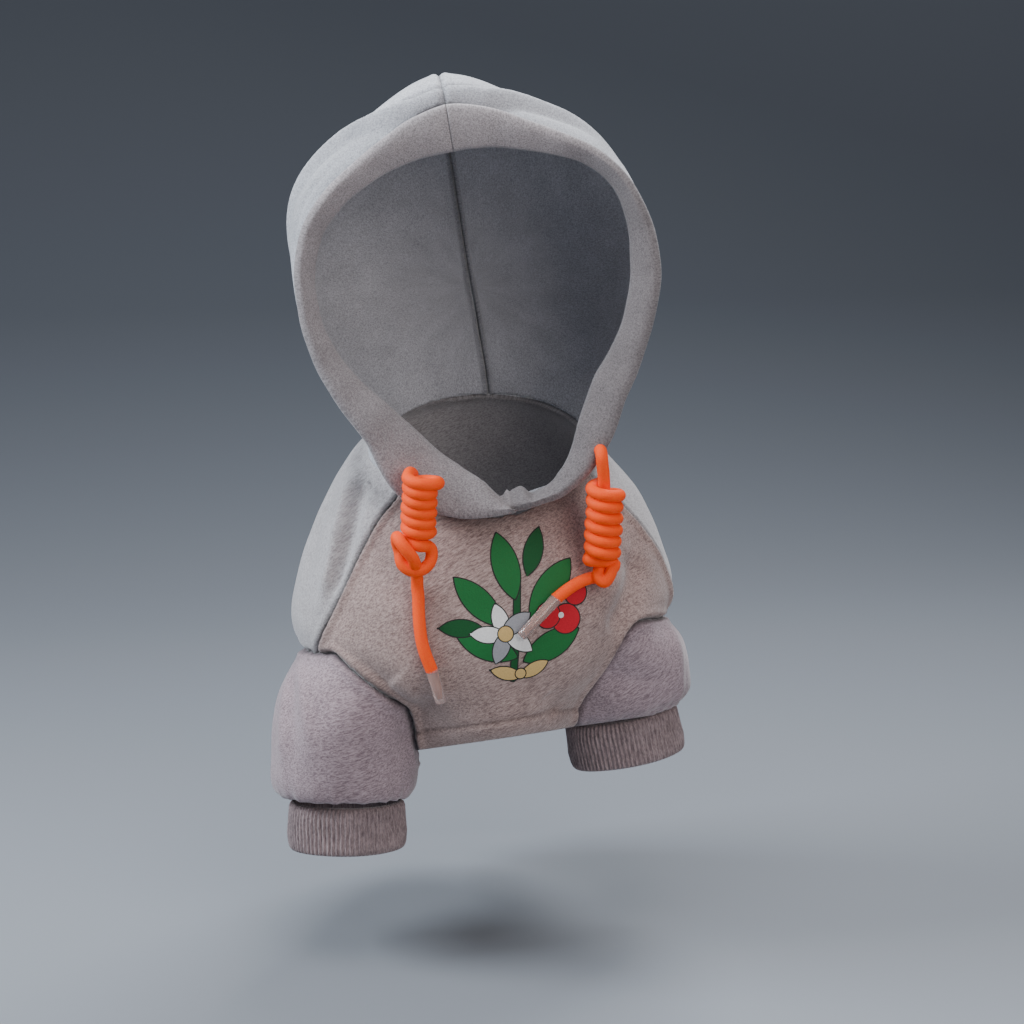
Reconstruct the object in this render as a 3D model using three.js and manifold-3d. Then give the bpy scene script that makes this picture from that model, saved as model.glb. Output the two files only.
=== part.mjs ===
// A small pullover hoodie in heather grey fleece, with its drawcord ends knotted.
// Millimetres, +X to the viewer's right, chest facing -Y, +Z up.
// Left and right are the viewer's. The garment keeps the form that it has when worn.
import * as THREE from 'three';
import { mergeVertices } from 'three/addons/utils/BufferGeometryUtils.js';
import Module from 'manifold-3d';

const wasm = await Module();
wasm.setup();

// Driving dimensions, in mm
const clothWall = 2.4;
const bandWall = 3.6;
const cuffWall = 2.6;
const seamGap = 0.34;
const bodyHalfWidth = 80;
const bodyFront = 62;
const bodyBack = 88;
const chestLength = 90;
const backLength = 173;
const neckFrontDrop = 8;
const neckBackRise = 28;
const hoodHalfWidth = 73;
const hoodDepth = 118;
const hoodHeight = 83;
const hoodShift = -12;
const hoodFront = 45;
const bandDepth = 13;
const lipDepth = 4;
const neckFlare = 34;
const sleeveHalfWidth = 29.5;
const sleeveHalfDepth = 30;
const cuffHalfWidth = 24.3;
const cuffHalfDepth = 24.5;
const cuffHeight = 20;
const cuffRibs = 30;
const ribDepth = 0.7;
const cordDiameter = 5;
const knotRadius = 8;
const agletRadius = 2.2;

// Shares of the hood's depth between which its lower edge comes in to the neck
const settleStart = 0.14;
const settleEnd = 0.42;

// Angles of the worn pose, in degrees
const hoodYaw = -10;
const hoodPitch = 6;
const hoodRoll = 9;

// Facet counts
const bodyColumns = 36;
const bodyRings = 13;
const hoodColumns = 36;
const hoodRingCount = 11;
const sleeveColumns = 22;
const sleeveRings = 9;
const bandColumns = 52;
const cordSides = 10;
const knotSides = 12;

const radians = THREE.MathUtils.degToRad;

// Body sections from above the neck seam to the hem. Front and drop are shares of bodyFront and
// chestLength, back and fall of bodyBack and backLength, width of bodyHalfWidth. Pinch narrows
// the front, roll is in degrees, left and right are the shoulder seams' angles from the front.
const bodySections = [
    { front: 0.70, drop: -0.10, back: 0.45, fall: -0.06, width: 0.55, pinch: 0, roll: 0, left: 55, right: 58 },
    { front: 0.76, drop: 0.00, back: 0.51, fall: 0.00, width: 0.61, pinch: 0, roll: 0, left: 56, right: 59 },
    { front: 0.84, drop: 0.12, back: 0.58, fall: 0.05, width: 0.73, pinch: 0, roll: 0, left: 57, right: 63 },
    { front: 0.92, drop: 0.28, back: 0.65, fall: 0.14, width: 0.86, pinch: 0, roll: 2, left: 58, right: 66 },
    { front: 0.98, drop: 0.45, back: 0.74, fall: 0.28, width: 0.97, pinch: 0, roll: 3, left: 60, right: 70 },
    { front: 1.00, drop: 0.62, back: 0.82, fall: 0.44, width: 1.03, pinch: 0.02, roll: 4, left: 66, right: 74 },
    { front: 0.98, drop: 0.76, back: 0.89, fall: 0.61, width: 0.98, pinch: 0.18, roll: 4, left: 80, right: 84 },
    { front: 0.94, drop: 0.88, back: 0.95, fall: 0.81, width: 0.88, pinch: 0.38, roll: 5, left: 92, right: 92 },
    { front: 0.88, drop: 1.00, back: 1.00, fall: 1.00, width: 0.81, pinch: 0.42, roll: 5, left: 96, right: 96 },
];

// The hood's rim seen from the front: radius as a share of hoodHalfWidth at an angle from the
// top, on the left and the right. The lips are the inner edge of the opening on either side.
const rimRows = [
    { angle: 0, left: 1.00, right: 1.00, lipLeft: 0.755, lipRight: 0.755 },
    { angle: 30, left: 0.94, right: 0.95, lipLeft: 0.79, lipRight: 0.80 },
    { angle: 60, left: 0.99, right: 1.02, lipLeft: 0.87, lipRight: 0.885 },
    { angle: 90, left: 0.965, right: 1.01, lipLeft: 0.85, lipRight: 0.85 },
    { angle: 115, left: 0.965, right: 0.975, lipLeft: 0.80, lipRight: 0.81 },
    { angle: 135, left: 1.02, right: 1.005, lipLeft: 0.79, lipRight: 0.80 },
    { angle: 150, left: 1.19, right: 1.12, lipLeft: 0.85, lipRight: 0.895 },
    { angle: 165, left: 1.24, right: 1.21, lipLeft: 0.97, lipRight: 1.06 },
    { angle: 180, left: 1.225, right: 1.225, lipLeft: 1.15, lipRight: 1.15 },
];

// Hood sections behind the rim: back is a share of hoodDepth, size a share of the rim's radius,
// peak the rise of the centre seam and lift that of the section as shares of hoodHalfWidth, and
// left and right the extra fullness at the upper corners as shares of the rim's radius.
const hoodSections = [
    { back: 0.00, size: 0.975, peak: 0.00, left: 0.00, right: 0.00, lift: 0.00 },
    { back: 0.10, size: 0.975, peak: 0.01, left: 0.01, right: 0.00, lift: 0.00 },
    { back: 0.18, size: 1.000, peak: 0.04, left: 0.07, right: 0.03, lift: 0.03 },
    { back: 0.30, size: 1.010, peak: 0.07, left: 0.11, right: 0.06, lift: 0.05 },
    { back: 0.45, size: 1.010, peak: 0.08, left: 0.12, right: 0.07, lift: 0.06 },
    { back: 0.60, size: 0.970, peak: 0.08, left: 0.09, right: 0.06, lift: 0.05 },
    { back: 0.74, size: 0.880, peak: 0.07, left: 0.05, right: 0.05, lift: 0.03 },
    { back: 0.86, size: 0.720, peak: 0.06, left: 0.03, right: 0.03, lift: 0.01 },
    { back: 0.95, size: 0.460, peak: 0.03, left: 0.00, right: 0.00, lift: 0.00 },
    { back: 1.00, size: 0.120, peak: 0.00, left: 0.00, right: 0.00, lift: -0.02 },
];

// Where the raised centre seam and the two full corners lie round the hood, in radians from its
// top, and how wide each one is
const hoodBumps = {
    peak: { name: 'peak', at: 0, spread: 0.32 },
    left: { name: 'left', at: -0.62, spread: 0.6 },
    right: { name: 'right', at: 0.52, spread: 0.5 },
};

// Cross-section of the front band, in mm outward from the rim's or the lip's outline and in mm
// behind the rim
const bandProfile = [
    { from: 'rim', out: -2.2, back: 0.3 },
    { from: 'rim', out: 0, back: 2.4 },
    { from: 'rim', out: -0.6, back: 7.5 },
    { from: 'rim', out: -1.6, back: bandDepth },
    { from: 'rim', out: -1.6 - bandWall, back: bandDepth },
    { from: 'rim', out: -1.6 - bandWall, back: lipDepth + 1.6 + bandWall },
    { from: 'lip', out: 0.6, back: lipDepth + bandWall },
    { from: 'lip', out: 0, back: lipDepth + bandWall / 2 },
    { from: 'lip', out: 1, back: lipDepth },
    { from: 'middle', out: 0, back: 1 },
];

// Sleeve sections from inside the shoulder to the cuff seam. Down is a share of the way from
// the shoulder point to the cuff point, and the sizes are shares of the sleeve's half sizes.
const sleeveSections = [
    { down: 0.00, width: 0.60, depth: 0.50 },
    { down: 0.08, width: 0.95, depth: 0.78 },
    { down: 0.20, width: 1.14, depth: 0.94 },
    { down: 0.36, width: 1.18, depth: 1.07 },
    { down: 0.54, width: 1.10, depth: 1.14 },
    { down: 0.72, width: 1.05, depth: 1.09 },
    { down: 0.88, width: 1.05, depth: 1.02 },
    { down: 0.96, width: 0.99, depth: 0.97 },
    { down: 1.00, width: 0.88, depth: 0.88 },
];

// Each sleeve: where its axis starts and ends, as shares of bodyHalfWidth, bodyFront and
// chestLength, how far the axis bows as a share of sleeveHalfWidth, how its cuff leans sideways
// and tips forward in degrees, and the seam plane that the armhole lies in, as a tilt and a
// distance in shares of bodyHalfWidth.
const sleeveRows = [
    {
        side: 'left', shoulder: [-0.55, -0.113, -0.4222], cuff: [-0.775, -0.21, -1.489], bow: -0.2373,
        lean: -2, pitch: 10, seamTilt: 38.7, seamOut: 1.175,
    },
    {
        side: 'right', shoulder: [0.4125, -0.21, -0.3333], cuff: [0.7125, -0.178, -1.1556], bow: 0.2373,
        lean: 9, pitch: 10, seamTilt: 34.9, seamOut: 0.9663,
    },
];

// Free ends of the drawcord, in mm from the neck's centre. Each one leaves the band, goes into
// the top of its wrapped knot, leaves the knot's foot and hangs down to a clear tip.
const cordRows = [
    {
        side: 'left',
        neck: [
            [-39.8, -49.3, 15.3], [-39.3, -51.8, 16.2], [-38.5, -55, 16.2],
            [-37.7, -58, 15.6], [-37.3, -58.9, 13.9],
        ],
        knot: [[-37.2, -59.2, 12.1], [-37.9, -53.2, -27.9]],
        profile: 'looped',
        tail: [
            [-37.9, -53, -28.4], [-37.8, -53.2, -33.5], [-37.5, -54, -37.3], [-37.6, -55, -41.8],
            [-37.6, -56, -46.1], [-37.4, -57, -50.3], [-37, -57.8, -54.3], [-36.3, -58.4, -57.6],
            [-35.4, -58.8, -60.7], [-33.5, -59.2, -65.8],
        ],
        aglet: [[-33.3, -59.2, -66.3], [-29.6, -59.6, -80.3]],
    },
    {
        side: 'right',
        neck: [
            [34.6, -62.6, 21.6], [35, -62.6, 17.6], [35.8, -62.4, 14], [36.5, -61.8, 10.8],
            [36.9, -61.5, 8.3],
        ],
        knot: [[36.9, -61.5, 7.8], [36.4, -57.5, -36.8]],
        profile: 'knobbed',
        tail: [
            [32.4, -56.6, -33], [29.9, -56.7, -33.3], [27.6, -57.2, -34], [25.3, -57.9, -34.9],
            [23.1, -58.7, -35.9], [21, -59.5, -37], [17.6, -60.8, -39],
        ],
        aglet: [[17.2, -60.9, -39.3], [1.9, -65, -53.1]],
    },
];

// Outer shapes of the two knots: shares of the knot's length and of knotRadius
const knotProfiles = {
    looped: [
        { along: 0.00, radius: 0.50 },
        { along: 0.06, radius: 0.94 },
        { along: 0.30, radius: 0.92 },
        { along: 0.58, radius: 0.90 },
        { along: 0.66, radius: 0.82 },
        { along: 0.80, radius: 0.88 },
        { along: 0.93, radius: 0.62 },
        { along: 1.00, radius: 0.30 },
    ],
    knobbed: [
        { along: 0.00, radius: 0.50 },
        { along: 0.05, radius: 0.96 },
        { along: 0.35, radius: 1.00 },
        { along: 0.66, radius: 0.92 },
        { along: 0.74, radius: 0.60 },
        { along: 0.84, radius: 0.45 },
        { along: 0.95, radius: 0.40 },
        { along: 1.00, radius: 0.20 },
    ],
};

// Smooth value of a table's column between its rows, at t from 0 to 1
function column(rows, name, t) {
    const last = rows.length - 1;
    const place = Math.min(Math.max(t, 0), 1) * last;
    const row = Math.min(Math.floor(place), last - 1);
    const share = place - row;
    const value = (index) => rows[Math.min(Math.max(index, 0), last)][name];
    const before = value(row - 1);
    const start = value(row);
    const end = value(row + 1);
    const after = value(row + 2);
    const slopeStart = (end - before) / 2;
    const slopeEnd = (after - start) / 2;
    const square = share * share;
    const cube = square * share;
    return (2 * cube - 3 * square + 1) * start
        + (cube - 2 * square + share) * slopeStart
        + (3 * square - 2 * cube) * end
        + (cube - square) * slopeEnd;
}

// Position t in a table whose key column grows, for a value of that key
function placeOf(rows, key, value) {
    const last = rows.length - 1;
    let index = 0;
    while (index < last - 1 && rows[index + 1][key] < value) {
        index += 1;
    }
    const span = rows[index + 1][key] - rows[index][key];
    return (index + (value - rows[index][key]) / span) / last;
}

// Closed solid through rings of points, with fans at both ends
function solidThrough(rings) {
    const count = rings[0].length;
    const points = rings.flat();
    const faces = [];
    for (let ring = 0; ring < rings.length - 1; ring += 1) {
        for (let step = 0; step < count; step += 1) {
            const next = (step + 1) % count;
            const a = ring * count + step;
            const b = ring * count + next;
            const c = a + count;
            const d = b + count;
            faces.push([a, b, d], [a, d, c]);
        }
    }
    [0, rings.length - 1].forEach((end) => {
        const centre = new THREE.Vector3();
        rings[end].forEach((point) => centre.add(point));
        centre.divideScalar(count);
        points.push(centre);
        const hub = points.length - 1;
        for (let step = 0; step < count; step += 1) {
            const a = end * count + step;
            const b = end * count + (step + 1) % count;
            faces.push(end === 0 ? [hub, b, a] : [hub, a, b]);
        }
    });
    return solidFrom(points, faces);
}

// Manifold solid from points and triangles, turned outward if its volume is negative
function solidFrom(points, faces) {
    const vertProperties = new Float32Array(points.flatMap((point) => point.toArray()));
    let triVerts = new Uint32Array(faces.flat());
    let volume = 0;
    faces.forEach(([a, b, c]) => {
        volume += points[a].dot(new THREE.Vector3().crossVectors(points[b], points[c]));
    });
    if (volume < 0) {
        triVerts = new Uint32Array(faces.flatMap(([a, b, c]) => [a, c, b]));
    }
    return new wasm.Manifold(new wasm.Mesh({ numProp: 3, vertProperties, triVerts }));
}

// Manifold solid from a three.js geometry
function solidOf(geometry) {
    const bare = geometry.clone();
    bare.deleteAttribute('normal');
    bare.deleteAttribute('uv');
    const merged = mergeVertices(bare, 1e-3);
    const vertProperties = new Float32Array(merged.attributes.position.array);
    const triVerts = new Uint32Array(merged.index.array);
    return new wasm.Manifold(new wasm.Mesh({ numProp: 3, vertProperties, triVerts }));
}

// Geometry from a manifold solid
function geometryOf(solid) {
    const mesh = solid.getMesh();
    const geometry = new THREE.BufferGeometry();
    const position = new THREE.BufferAttribute(new Float32Array(mesh.vertProperties), 3);
    geometry.setAttribute('position', position);
    geometry.setIndex(new THREE.BufferAttribute(new Uint32Array(mesh.triVerts), 1));
    geometry.computeVertexNormals();
    return geometry;
}

// Largest body of a solid, without the slivers that a cut along a seam leaves
function mainBody(solid) {
    const bodies = solid.decompose();
    return bodies.reduce((most, body) => (body.volume() > most.volume() ? body : most));
}

// Large box on the side of a plane that its normal points to, in front of a point
function halfSpace(normal, distance) {
    const size = 900;
    const box = new THREE.BoxGeometry(size, size, size);
    const outward = normal.clone().normalize();
    const turn = new THREE.Quaternion().setFromUnitVectors(new THREE.Vector3(0, 0, 1), outward);
    box.applyQuaternion(turn);
    const centre = outward.multiplyScalar(distance + size / 2);
    box.translate(centre.x, centre.y, centre.z);
    return solidOf(box);
}

// Front and back points, half width and side direction of the body at t
function bodyFrame(t) {
    const front = new THREE.Vector3(
        0,
        -bodyFront * column(bodySections, 'front', t),
        -neckFrontDrop - chestLength * column(bodySections, 'drop', t),
    );
    const back = new THREE.Vector3(
        0,
        bodyBack * column(bodySections, 'back', t),
        neckBackRise - backLength * column(bodySections, 'fall', t),
    );
    const roll = radians(column(bodySections, 'roll', t));
    return {
        centre: front.clone().add(back).multiplyScalar(0.5),
        reach: back.clone().sub(front).multiplyScalar(0.5),
        side: new THREE.Vector3(Math.cos(roll), 0, Math.sin(roll)),
        halfWidth: bodyHalfWidth * column(bodySections, 'width', t),
        pinch: column(bodySections, 'pinch', t),
    };
}

// Point of the body's section at t, at an angle from the front, moved in by inset
function bodyPoint(t, angle, inset) {
    const frame = bodyFrame(t);
    const depth = frame.reach.length() - inset;
    const along = frame.reach.clone().normalize();
    const narrow = 1 - frame.pinch * (1 + Math.cos(angle)) / 2;
    const across = (frame.halfWidth - inset) * Math.sin(angle) * narrow;
    return frame.centre.clone()
        .addScaledVector(along, -depth * Math.cos(angle))
        .addScaledVector(frame.side, across);
}

// Rings of the body from one t to another
function bodyRingsBetween(start, end, inset) {
    const rings = [];
    for (let ring = 0; ring <= bodyRings; ring += 1) {
        const t = start + (end - start) * ring / bodyRings;
        const points = [];
        for (let step = 0; step < bodyColumns; step += 1) {
            points.push(bodyPoint(t, 2 * Math.PI * step / bodyColumns, inset));
        }
        rings.push(points);
    }
    return rings;
}

// Moves a ring along the direction between two rings' centres, to run past an opening
function extended(rings, distance) {
    const centreOf = (ring) => {
        const sum = new THREE.Vector3();
        ring.forEach((point) => sum.add(point));
        return sum.divideScalar(ring.length);
    };
    const last = rings[rings.length - 1];
    const before = rings[rings.length - 2];
    const shift = centreOf(last).sub(centreOf(before)).normalize().multiplyScalar(distance);
    return rings.concat([last.map((point) => point.clone().add(shift))]);
}

// The hood's own axes and middle
const hoodAxes = (() => {
    const yaw = radians(hoodYaw);
    const pitch = radians(hoodPitch);
    const roll = radians(hoodRoll);
    const back = new THREE.Vector3(
        -Math.sin(yaw) * Math.cos(pitch),
        Math.cos(yaw) * Math.cos(pitch),
        -Math.sin(pitch),
    );
    const level = new THREE.Vector3(Math.cos(yaw), Math.sin(yaw), 0);
    const upright = new THREE.Vector3().crossVectors(level, back);
    const side = level.clone().multiplyScalar(Math.cos(roll)).addScaledVector(upright, Math.sin(roll));
    const up = upright.clone().multiplyScalar(Math.cos(roll)).addScaledVector(level, -Math.sin(roll));
    return { back, side, up, middle: new THREE.Vector3(hoodShift, -hoodFront, hoodHeight) };
})();

// Point of the hood at an angle from its top, clockwise, a radius and a depth behind the rim
function hoodPoint(angle, radius, back) {
    return hoodAxes.middle.clone()
        .addScaledVector(hoodAxes.side, radius * Math.sin(angle))
        .addScaledVector(hoodAxes.up, radius * Math.cos(angle))
        .addScaledVector(hoodAxes.back, back);
}

// Radius of the rim's or the lip's outline at an angle from the top, clockwise
function rimRadius(angle, lip) {
    const turned = Math.atan2(Math.sin(angle), Math.cos(angle));
    const fromTop = Math.abs(turned) * 180 / Math.PI;
    const t = placeOf(rimRows, 'angle', fromTop);
    const isLeft = turned < 0;
    const name = lip ? (isLeft ? 'lipLeft' : 'lipRight') : (isLeft ? 'left' : 'right');
    return hoodHalfWidth * column(rimRows, name, t);
}

// Radius of the hood's section at t, with the raised centre seam and the fuller upper left
function hoodRadius(t, angle) {
    const turned = Math.atan2(Math.sin(angle), Math.cos(angle));
    const bump = ({ name, at, spread }) => (
        column(hoodSections, name, t) * Math.exp(-(((turned - at) / spread) ** 2))
    );
    const size = column(hoodSections, 'size', t) + bump(hoodBumps.left) + bump(hoodBumps.right);
    return rimRadius(angle, false) * size + hoodHalfWidth * bump(hoodBumps.peak);
}

// Draws a hood point that lies near the neck seam in to the neck's outline
function settledToNeck(point, share, inset) {
    const from = point.clone().sub(neckFrame.centre);
    const height = from.dot(neckNormal);
    const across = from.dot(neckFrame.side);
    const along = from.dot(neckAlong);
    const radius = Math.hypot(across, along);
    const widthPart = across / radius / (neckFrame.halfWidth - inset);
    const depthPart = along / radius / (neckFrame.reach.length() - inset);
    const seatRadius = 1 / Math.hypot(widthPart, depthPart);
    const pull = share * (1 - THREE.MathUtils.smoothstep(height, 0, neckFlare));
    const wanted = radius + (seatRadius - radius) * pull;
    return neckFrame.centre.clone()
        .addScaledVector(neckNormal, height)
        .addScaledVector(neckFrame.side, across * wanted / radius)
        .addScaledVector(neckAlong, along * wanted / radius);
}

// Rings of the hood from one t to another, moved in by inset
function hoodRings(start, end, count, inset) {
    const rings = [];
    for (let ring = 0; ring <= count; ring += 1) {
        const t = start + (end - start) * ring / Math.max(count, 1);
        const size = column(hoodSections, 'size', t);
        const back = hoodDepth * column(hoodSections, 'back', t);
        const rise = hoodHalfWidth * column(hoodSections, 'lift', t);
        const points = [];
        for (let step = 0; step < hoodColumns; step += 1) {
            const angle = 2 * Math.PI * step / hoodColumns;
            const radius = Math.max(hoodRadius(t, angle) - inset, hoodHalfWidth * 0.05);
            const point = hoodPoint(angle, radius, back - inset * (1 - size));
            point.addScaledVector(hoodAxes.up, rise);
            points.push(settledToNeck(point, THREE.MathUtils.smoothstep(t, settleStart, settleEnd), inset));
        }
        rings.push(points);
    }
    return rings;
}

// Place that a sleeve row gives in shares
function sleevePlace([across, ahead, up]) {
    return new THREE.Vector3(across * bodyHalfWidth, ahead * bodyFront, up * chestLength);
}

// Axis point of a sleeve at a share of its way down
function sleeveCentre(row, down) {
    const point = sleevePlace(row.shoulder).lerp(sleevePlace(row.cuff), down);
    point.x += row.bow * sleeveHalfWidth * Math.sin(Math.PI * down);
    return point;
}

// Side, front and downward directions of a sleeve that leans sideways and tips forward
function sleeveAxes(lean, pitch) {
    const side = new THREE.Vector3(Math.cos(lean), 0, Math.sin(lean));
    const level = new THREE.Vector3(Math.sin(lean), 0, -Math.cos(lean));
    const forward = new THREE.Vector3(0, -1, 0);
    return {
        side,
        front: forward.clone().multiplyScalar(Math.cos(pitch)).addScaledVector(level, -Math.sin(pitch)),
        down: level.clone().multiplyScalar(Math.cos(pitch)).addScaledVector(forward, Math.sin(pitch)),
    };
}

// Ring across a sleeve or cuff
function ringAcross(centre, axes, halfWidth, halfDepth, count, radiusShift) {
    const points = [];
    for (let step = 0; step < count; step += 1) {
        const angle = 2 * Math.PI * step / count;
        const shift = radiusShift(step);
        points.push(centre.clone()
            .addScaledVector(axes.side, (halfWidth + shift) * Math.sin(angle))
            .addScaledVector(axes.front, (halfDepth + shift) * Math.cos(angle)));
    }
    return points;
}

// Rings of a sleeve, moved out by grow
function sleeveRingsOf(row, grow) {
    const rings = [];
    for (let ring = 0; ring <= sleeveRings; ring += 1) {
        const t = ring / sleeveRings;
        const down = column(sleeveSections, 'down', t);
        const lean = radians(row.lean) * down - radians(row.seamTilt) * (1 - down) * Math.sign(row.cuff[0]);
        const halfWidth = sleeveHalfWidth * column(sleeveSections, 'width', t);
        const halfDepth = sleeveHalfDepth * column(sleeveSections, 'depth', t);
        const axes = sleeveAxes(lean, radians(row.pitch) * down ** 2);
        const centre = sleeveCentre(row, down);
        rings.push(ringAcross(centre, axes, halfWidth, halfDepth, sleeveColumns, () => grow));
    }
    return rings;
}

// Ribbed cuff below a sleeve
function cuffSolid(row) {
    const axes = sleeveAxes(radians(row.lean), radians(row.pitch));
    const top = sleevePlace(row.cuff).addScaledVector(axes.down, seamGap);
    const count = cuffRibs * 2;
    const rib = (step) => (step % 2 === 0 ? ribDepth : 0);
    const ringAt = (down, grow, ribbed) => ringAcross(
        top.clone().addScaledVector(axes.down, down), axes,
        cuffHalfWidth + grow, cuffHalfDepth + grow, count, ribbed ? rib : () => 0,
    );
    const outer = solidThrough([
        ringAt(0, -cuffWall / 2, true), ringAt(cuffWall, 0, true), ringAt(cuffHeight, 0, true),
    ]);
    const past = 1;
    const inner = solidThrough([ringAt(-past, -cuffWall, false), ringAt(cuffHeight + past, -cuffWall, false)]);
    return outer.subtract(inner);
}

// Closed ring of the hood's front band between two angles, with an offset to the back at the end
function bandSolid(start, end, count) {
    const rings = [];
    for (let ring = 0; ring <= count; ring += 1) {
        const angle = start + (end - start) * ring / count;
        const rim = rimRadius(angle, false);
        const lip = rimRadius(angle, true);
        const outlines = { rim, lip, middle: (rim + lip) / 2 };
        rings.push(bandProfile.map(({ from, out, back }) => (
            hoodPoint(angle, outlines[from] + out, back)
        )));
    }
    return solidThrough(rings);
}

// Sector of the body in front of its shoulder and side seams, wider by widen in mm
function frontSector(widen) {
    const rings = [];
    const steps = 24;
    const spread = 1.5;
    for (let ring = 0; ring <= bodyRings; ring += 1) {
        const t = ring / bodyRings;
        const frame = bodyFrame(t);
        const extra = widen / frame.halfWidth;
        const left = radians(column(bodySections, 'left', t)) + extra;
        const right = radians(column(bodySections, 'right', t)) + extra;
        const points = [frame.centre.clone()];
        for (let step = 0; step <= steps; step += 1) {
            const angle = -left + (left + right) * step / steps;
            const point = bodyPoint(t, angle, 0);
            points.push(point.sub(frame.centre).multiplyScalar(spread).add(frame.centre));
        }
        rings.push(points);
    }
    return solidThrough(rings);
}

// Neck seam plane: normal up and forward, through the front and back of the neck section
const neckRow = 1 / (bodySections.length - 1);
const neckFrame = bodyFrame(neckRow);
const neckAlong = neckFrame.reach.clone().normalize();
const neckNormal = new THREE.Vector3(0, -neckFrame.reach.z, neckFrame.reach.y).normalize();
const neckDistance = neckNormal.dot(neckFrame.centre);
const aboveNeck = halfSpace(neckNormal, neckDistance + seamGap / 2);
const belowNeck = halfSpace(neckNormal.clone().negate(), -neckDistance + seamGap / 2);

const materials = {
    chest: new THREE.MeshStandardMaterial({ color: 0x8e7c76, roughness: 0.95, metalness: 0 }),
    back: new THREE.MeshStandardMaterial({ color: 0xb3b4b4, roughness: 0.95, metalness: 0 }),
    sleeve: new THREE.MeshStandardMaterial({ color: 0x94878c, roughness: 0.95, metalness: 0 }),
    hood: new THREE.MeshStandardMaterial({ color: 0xb0b1b5, roughness: 0.95, metalness: 0 }),
    band: new THREE.MeshStandardMaterial({ color: 0x8f8a8d, roughness: 0.95, metalness: 0 }),
    cuff: new THREE.MeshStandardMaterial({ color: 0x7b6e74, roughness: 0.95, metalness: 0 }),
    cord: new THREE.MeshStandardMaterial({ color: 0xeb6b41, roughness: 0.8, metalness: 0 }),
    aglet: new THREE.MeshStandardMaterial({ color: 0xb8a8a6, roughness: 0.2, metalness: 0 }),
};

const group = new THREE.Group();

// Adds a solid as a named mesh
function addPiece(name, solid, material) {
    const mesh = new THREE.Mesh(geometryOf(solid), material);
    mesh.name = name;
    group.add(mesh);
}

// Outer and inner solids of body, sleeves and hood
const bodyOuter = solidThrough(bodyRingsBetween(0, 1, 0));
const bodyInner = solidThrough(extended(bodyRingsBetween(0, 1, clothWall), 4));
const sleevesOuter = sleeveRows.map((row) => solidThrough(sleeveRingsOf(row, 0)));
const sleevesInner = sleeveRows.map((row) => solidThrough(extended(sleeveRingsOf(row, -clothWall), 4)));
const shellOuter = sleevesOuter.reduce((whole, sleeve) => whole.add(sleeve), bodyOuter);
const shellInner = sleevesInner.reduce((whole, sleeve) => whole.add(sleeve), bodyInner);
const bodyShell = shellOuter.subtract(shellInner).intersect(belowNeck);

// Sleeves: what lies in the grown sleeve, beyond its armhole plane
let torso = bodyShell;
sleeveRows.forEach((row) => {
    const sign = Math.sign(row.cuff[0]);
    const tilt = radians(row.seamTilt);
    const normal = new THREE.Vector3(sign * Math.sin(tilt), 0, -Math.cos(tilt));
    const nearTube = solidThrough(sleeveRingsOf(row, 0.15));
    const farTube = solidThrough(sleeveRingsOf(row, 0.15 + seamGap));
    const seamOut = row.seamOut * bodyHalfWidth;
    const sleeve = bodyShell.intersect(nearTube).intersect(halfSpace(normal, seamOut + seamGap / 2));
    const hole = farTube.intersect(halfSpace(normal, seamOut - seamGap / 2));
    torso = torso.subtract(hole);
    addPiece(`sleeve_${row.side}`, sleeve, materials.sleeve);
    addPiece(`cuff_${row.side}`, cuffSolid(row), materials.cuff);
});
addPiece('chest_panel', mainBody(torso.intersect(frontSector(-seamGap / 2))), materials.chest);
addPiece('back_panel', mainBody(torso.subtract(frontSector(seamGap / 2))), materials.back);

// Hood: two panels behind the band, above the neck seam
const hoodStart = placeOf(hoodSections, 'back', (bandDepth + seamGap) / hoodDepth);
const hoodOuter = solidThrough(hoodRings(hoodStart, 1, hoodRingCount, 0));
const hoodInner = solidThrough(
    hoodRings(0, 0, 0, clothWall).concat(hoodRings(hoodStart, 1, hoodRingCount, clothWall)),
);
const hoodShell = hoodOuter.subtract(hoodInner).intersect(aboveNeck);
const middleOut = hoodAxes.middle.dot(hoodAxes.side);
const hoodRight = hoodShell.intersect(halfSpace(hoodAxes.side, middleOut + seamGap / 2));
const hoodLeft = hoodShell.intersect(halfSpace(hoodAxes.side.clone().negate(), -middleOut + seamGap / 2));
addPiece('hood_left', hoodLeft, materials.hood);
addPiece('hood_right', hoodRight, materials.hood);

// Band: two halves that meet at the top seam and at the throat
const topTurn = seamGap / 2 / hoodHalfWidth;
const bandHalf = bandColumns / 2;
const bandLeft = bandSolid(-topTurn, -Math.PI + topTurn, bandHalf).intersect(aboveNeck);
const bandRight = bandSolid(topTurn, Math.PI - topTurn, bandHalf).intersect(aboveNeck);
addPiece('hood_band_left', bandLeft, materials.band);
addPiece('hood_band_right', bandRight, materials.band);

// Tube of a cord or a tip through points, with a step about every half diameter
function tubeThrough(points, radius, spacing) {
    const curve = new THREE.CatmullRomCurve3(points.map((point) => new THREE.Vector3(...point)));
    const outline = new THREE.Shape();
    for (let side = 0; side < cordSides; side += 1) {
        const angle = 2 * Math.PI * side / cordSides;
        const x = radius * Math.cos(angle);
        const y = radius * Math.sin(angle);
        if (side === 0) {
            outline.moveTo(x, y);
        } else {
            outline.lineTo(x, y);
        }
    }
    outline.closePath();
    const steps = Math.max(1, Math.round(curve.getLength() / spacing));
    return new THREE.ExtrudeGeometry(outline, { steps, extrudePath: curve, bevelEnabled: false });
}

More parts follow.
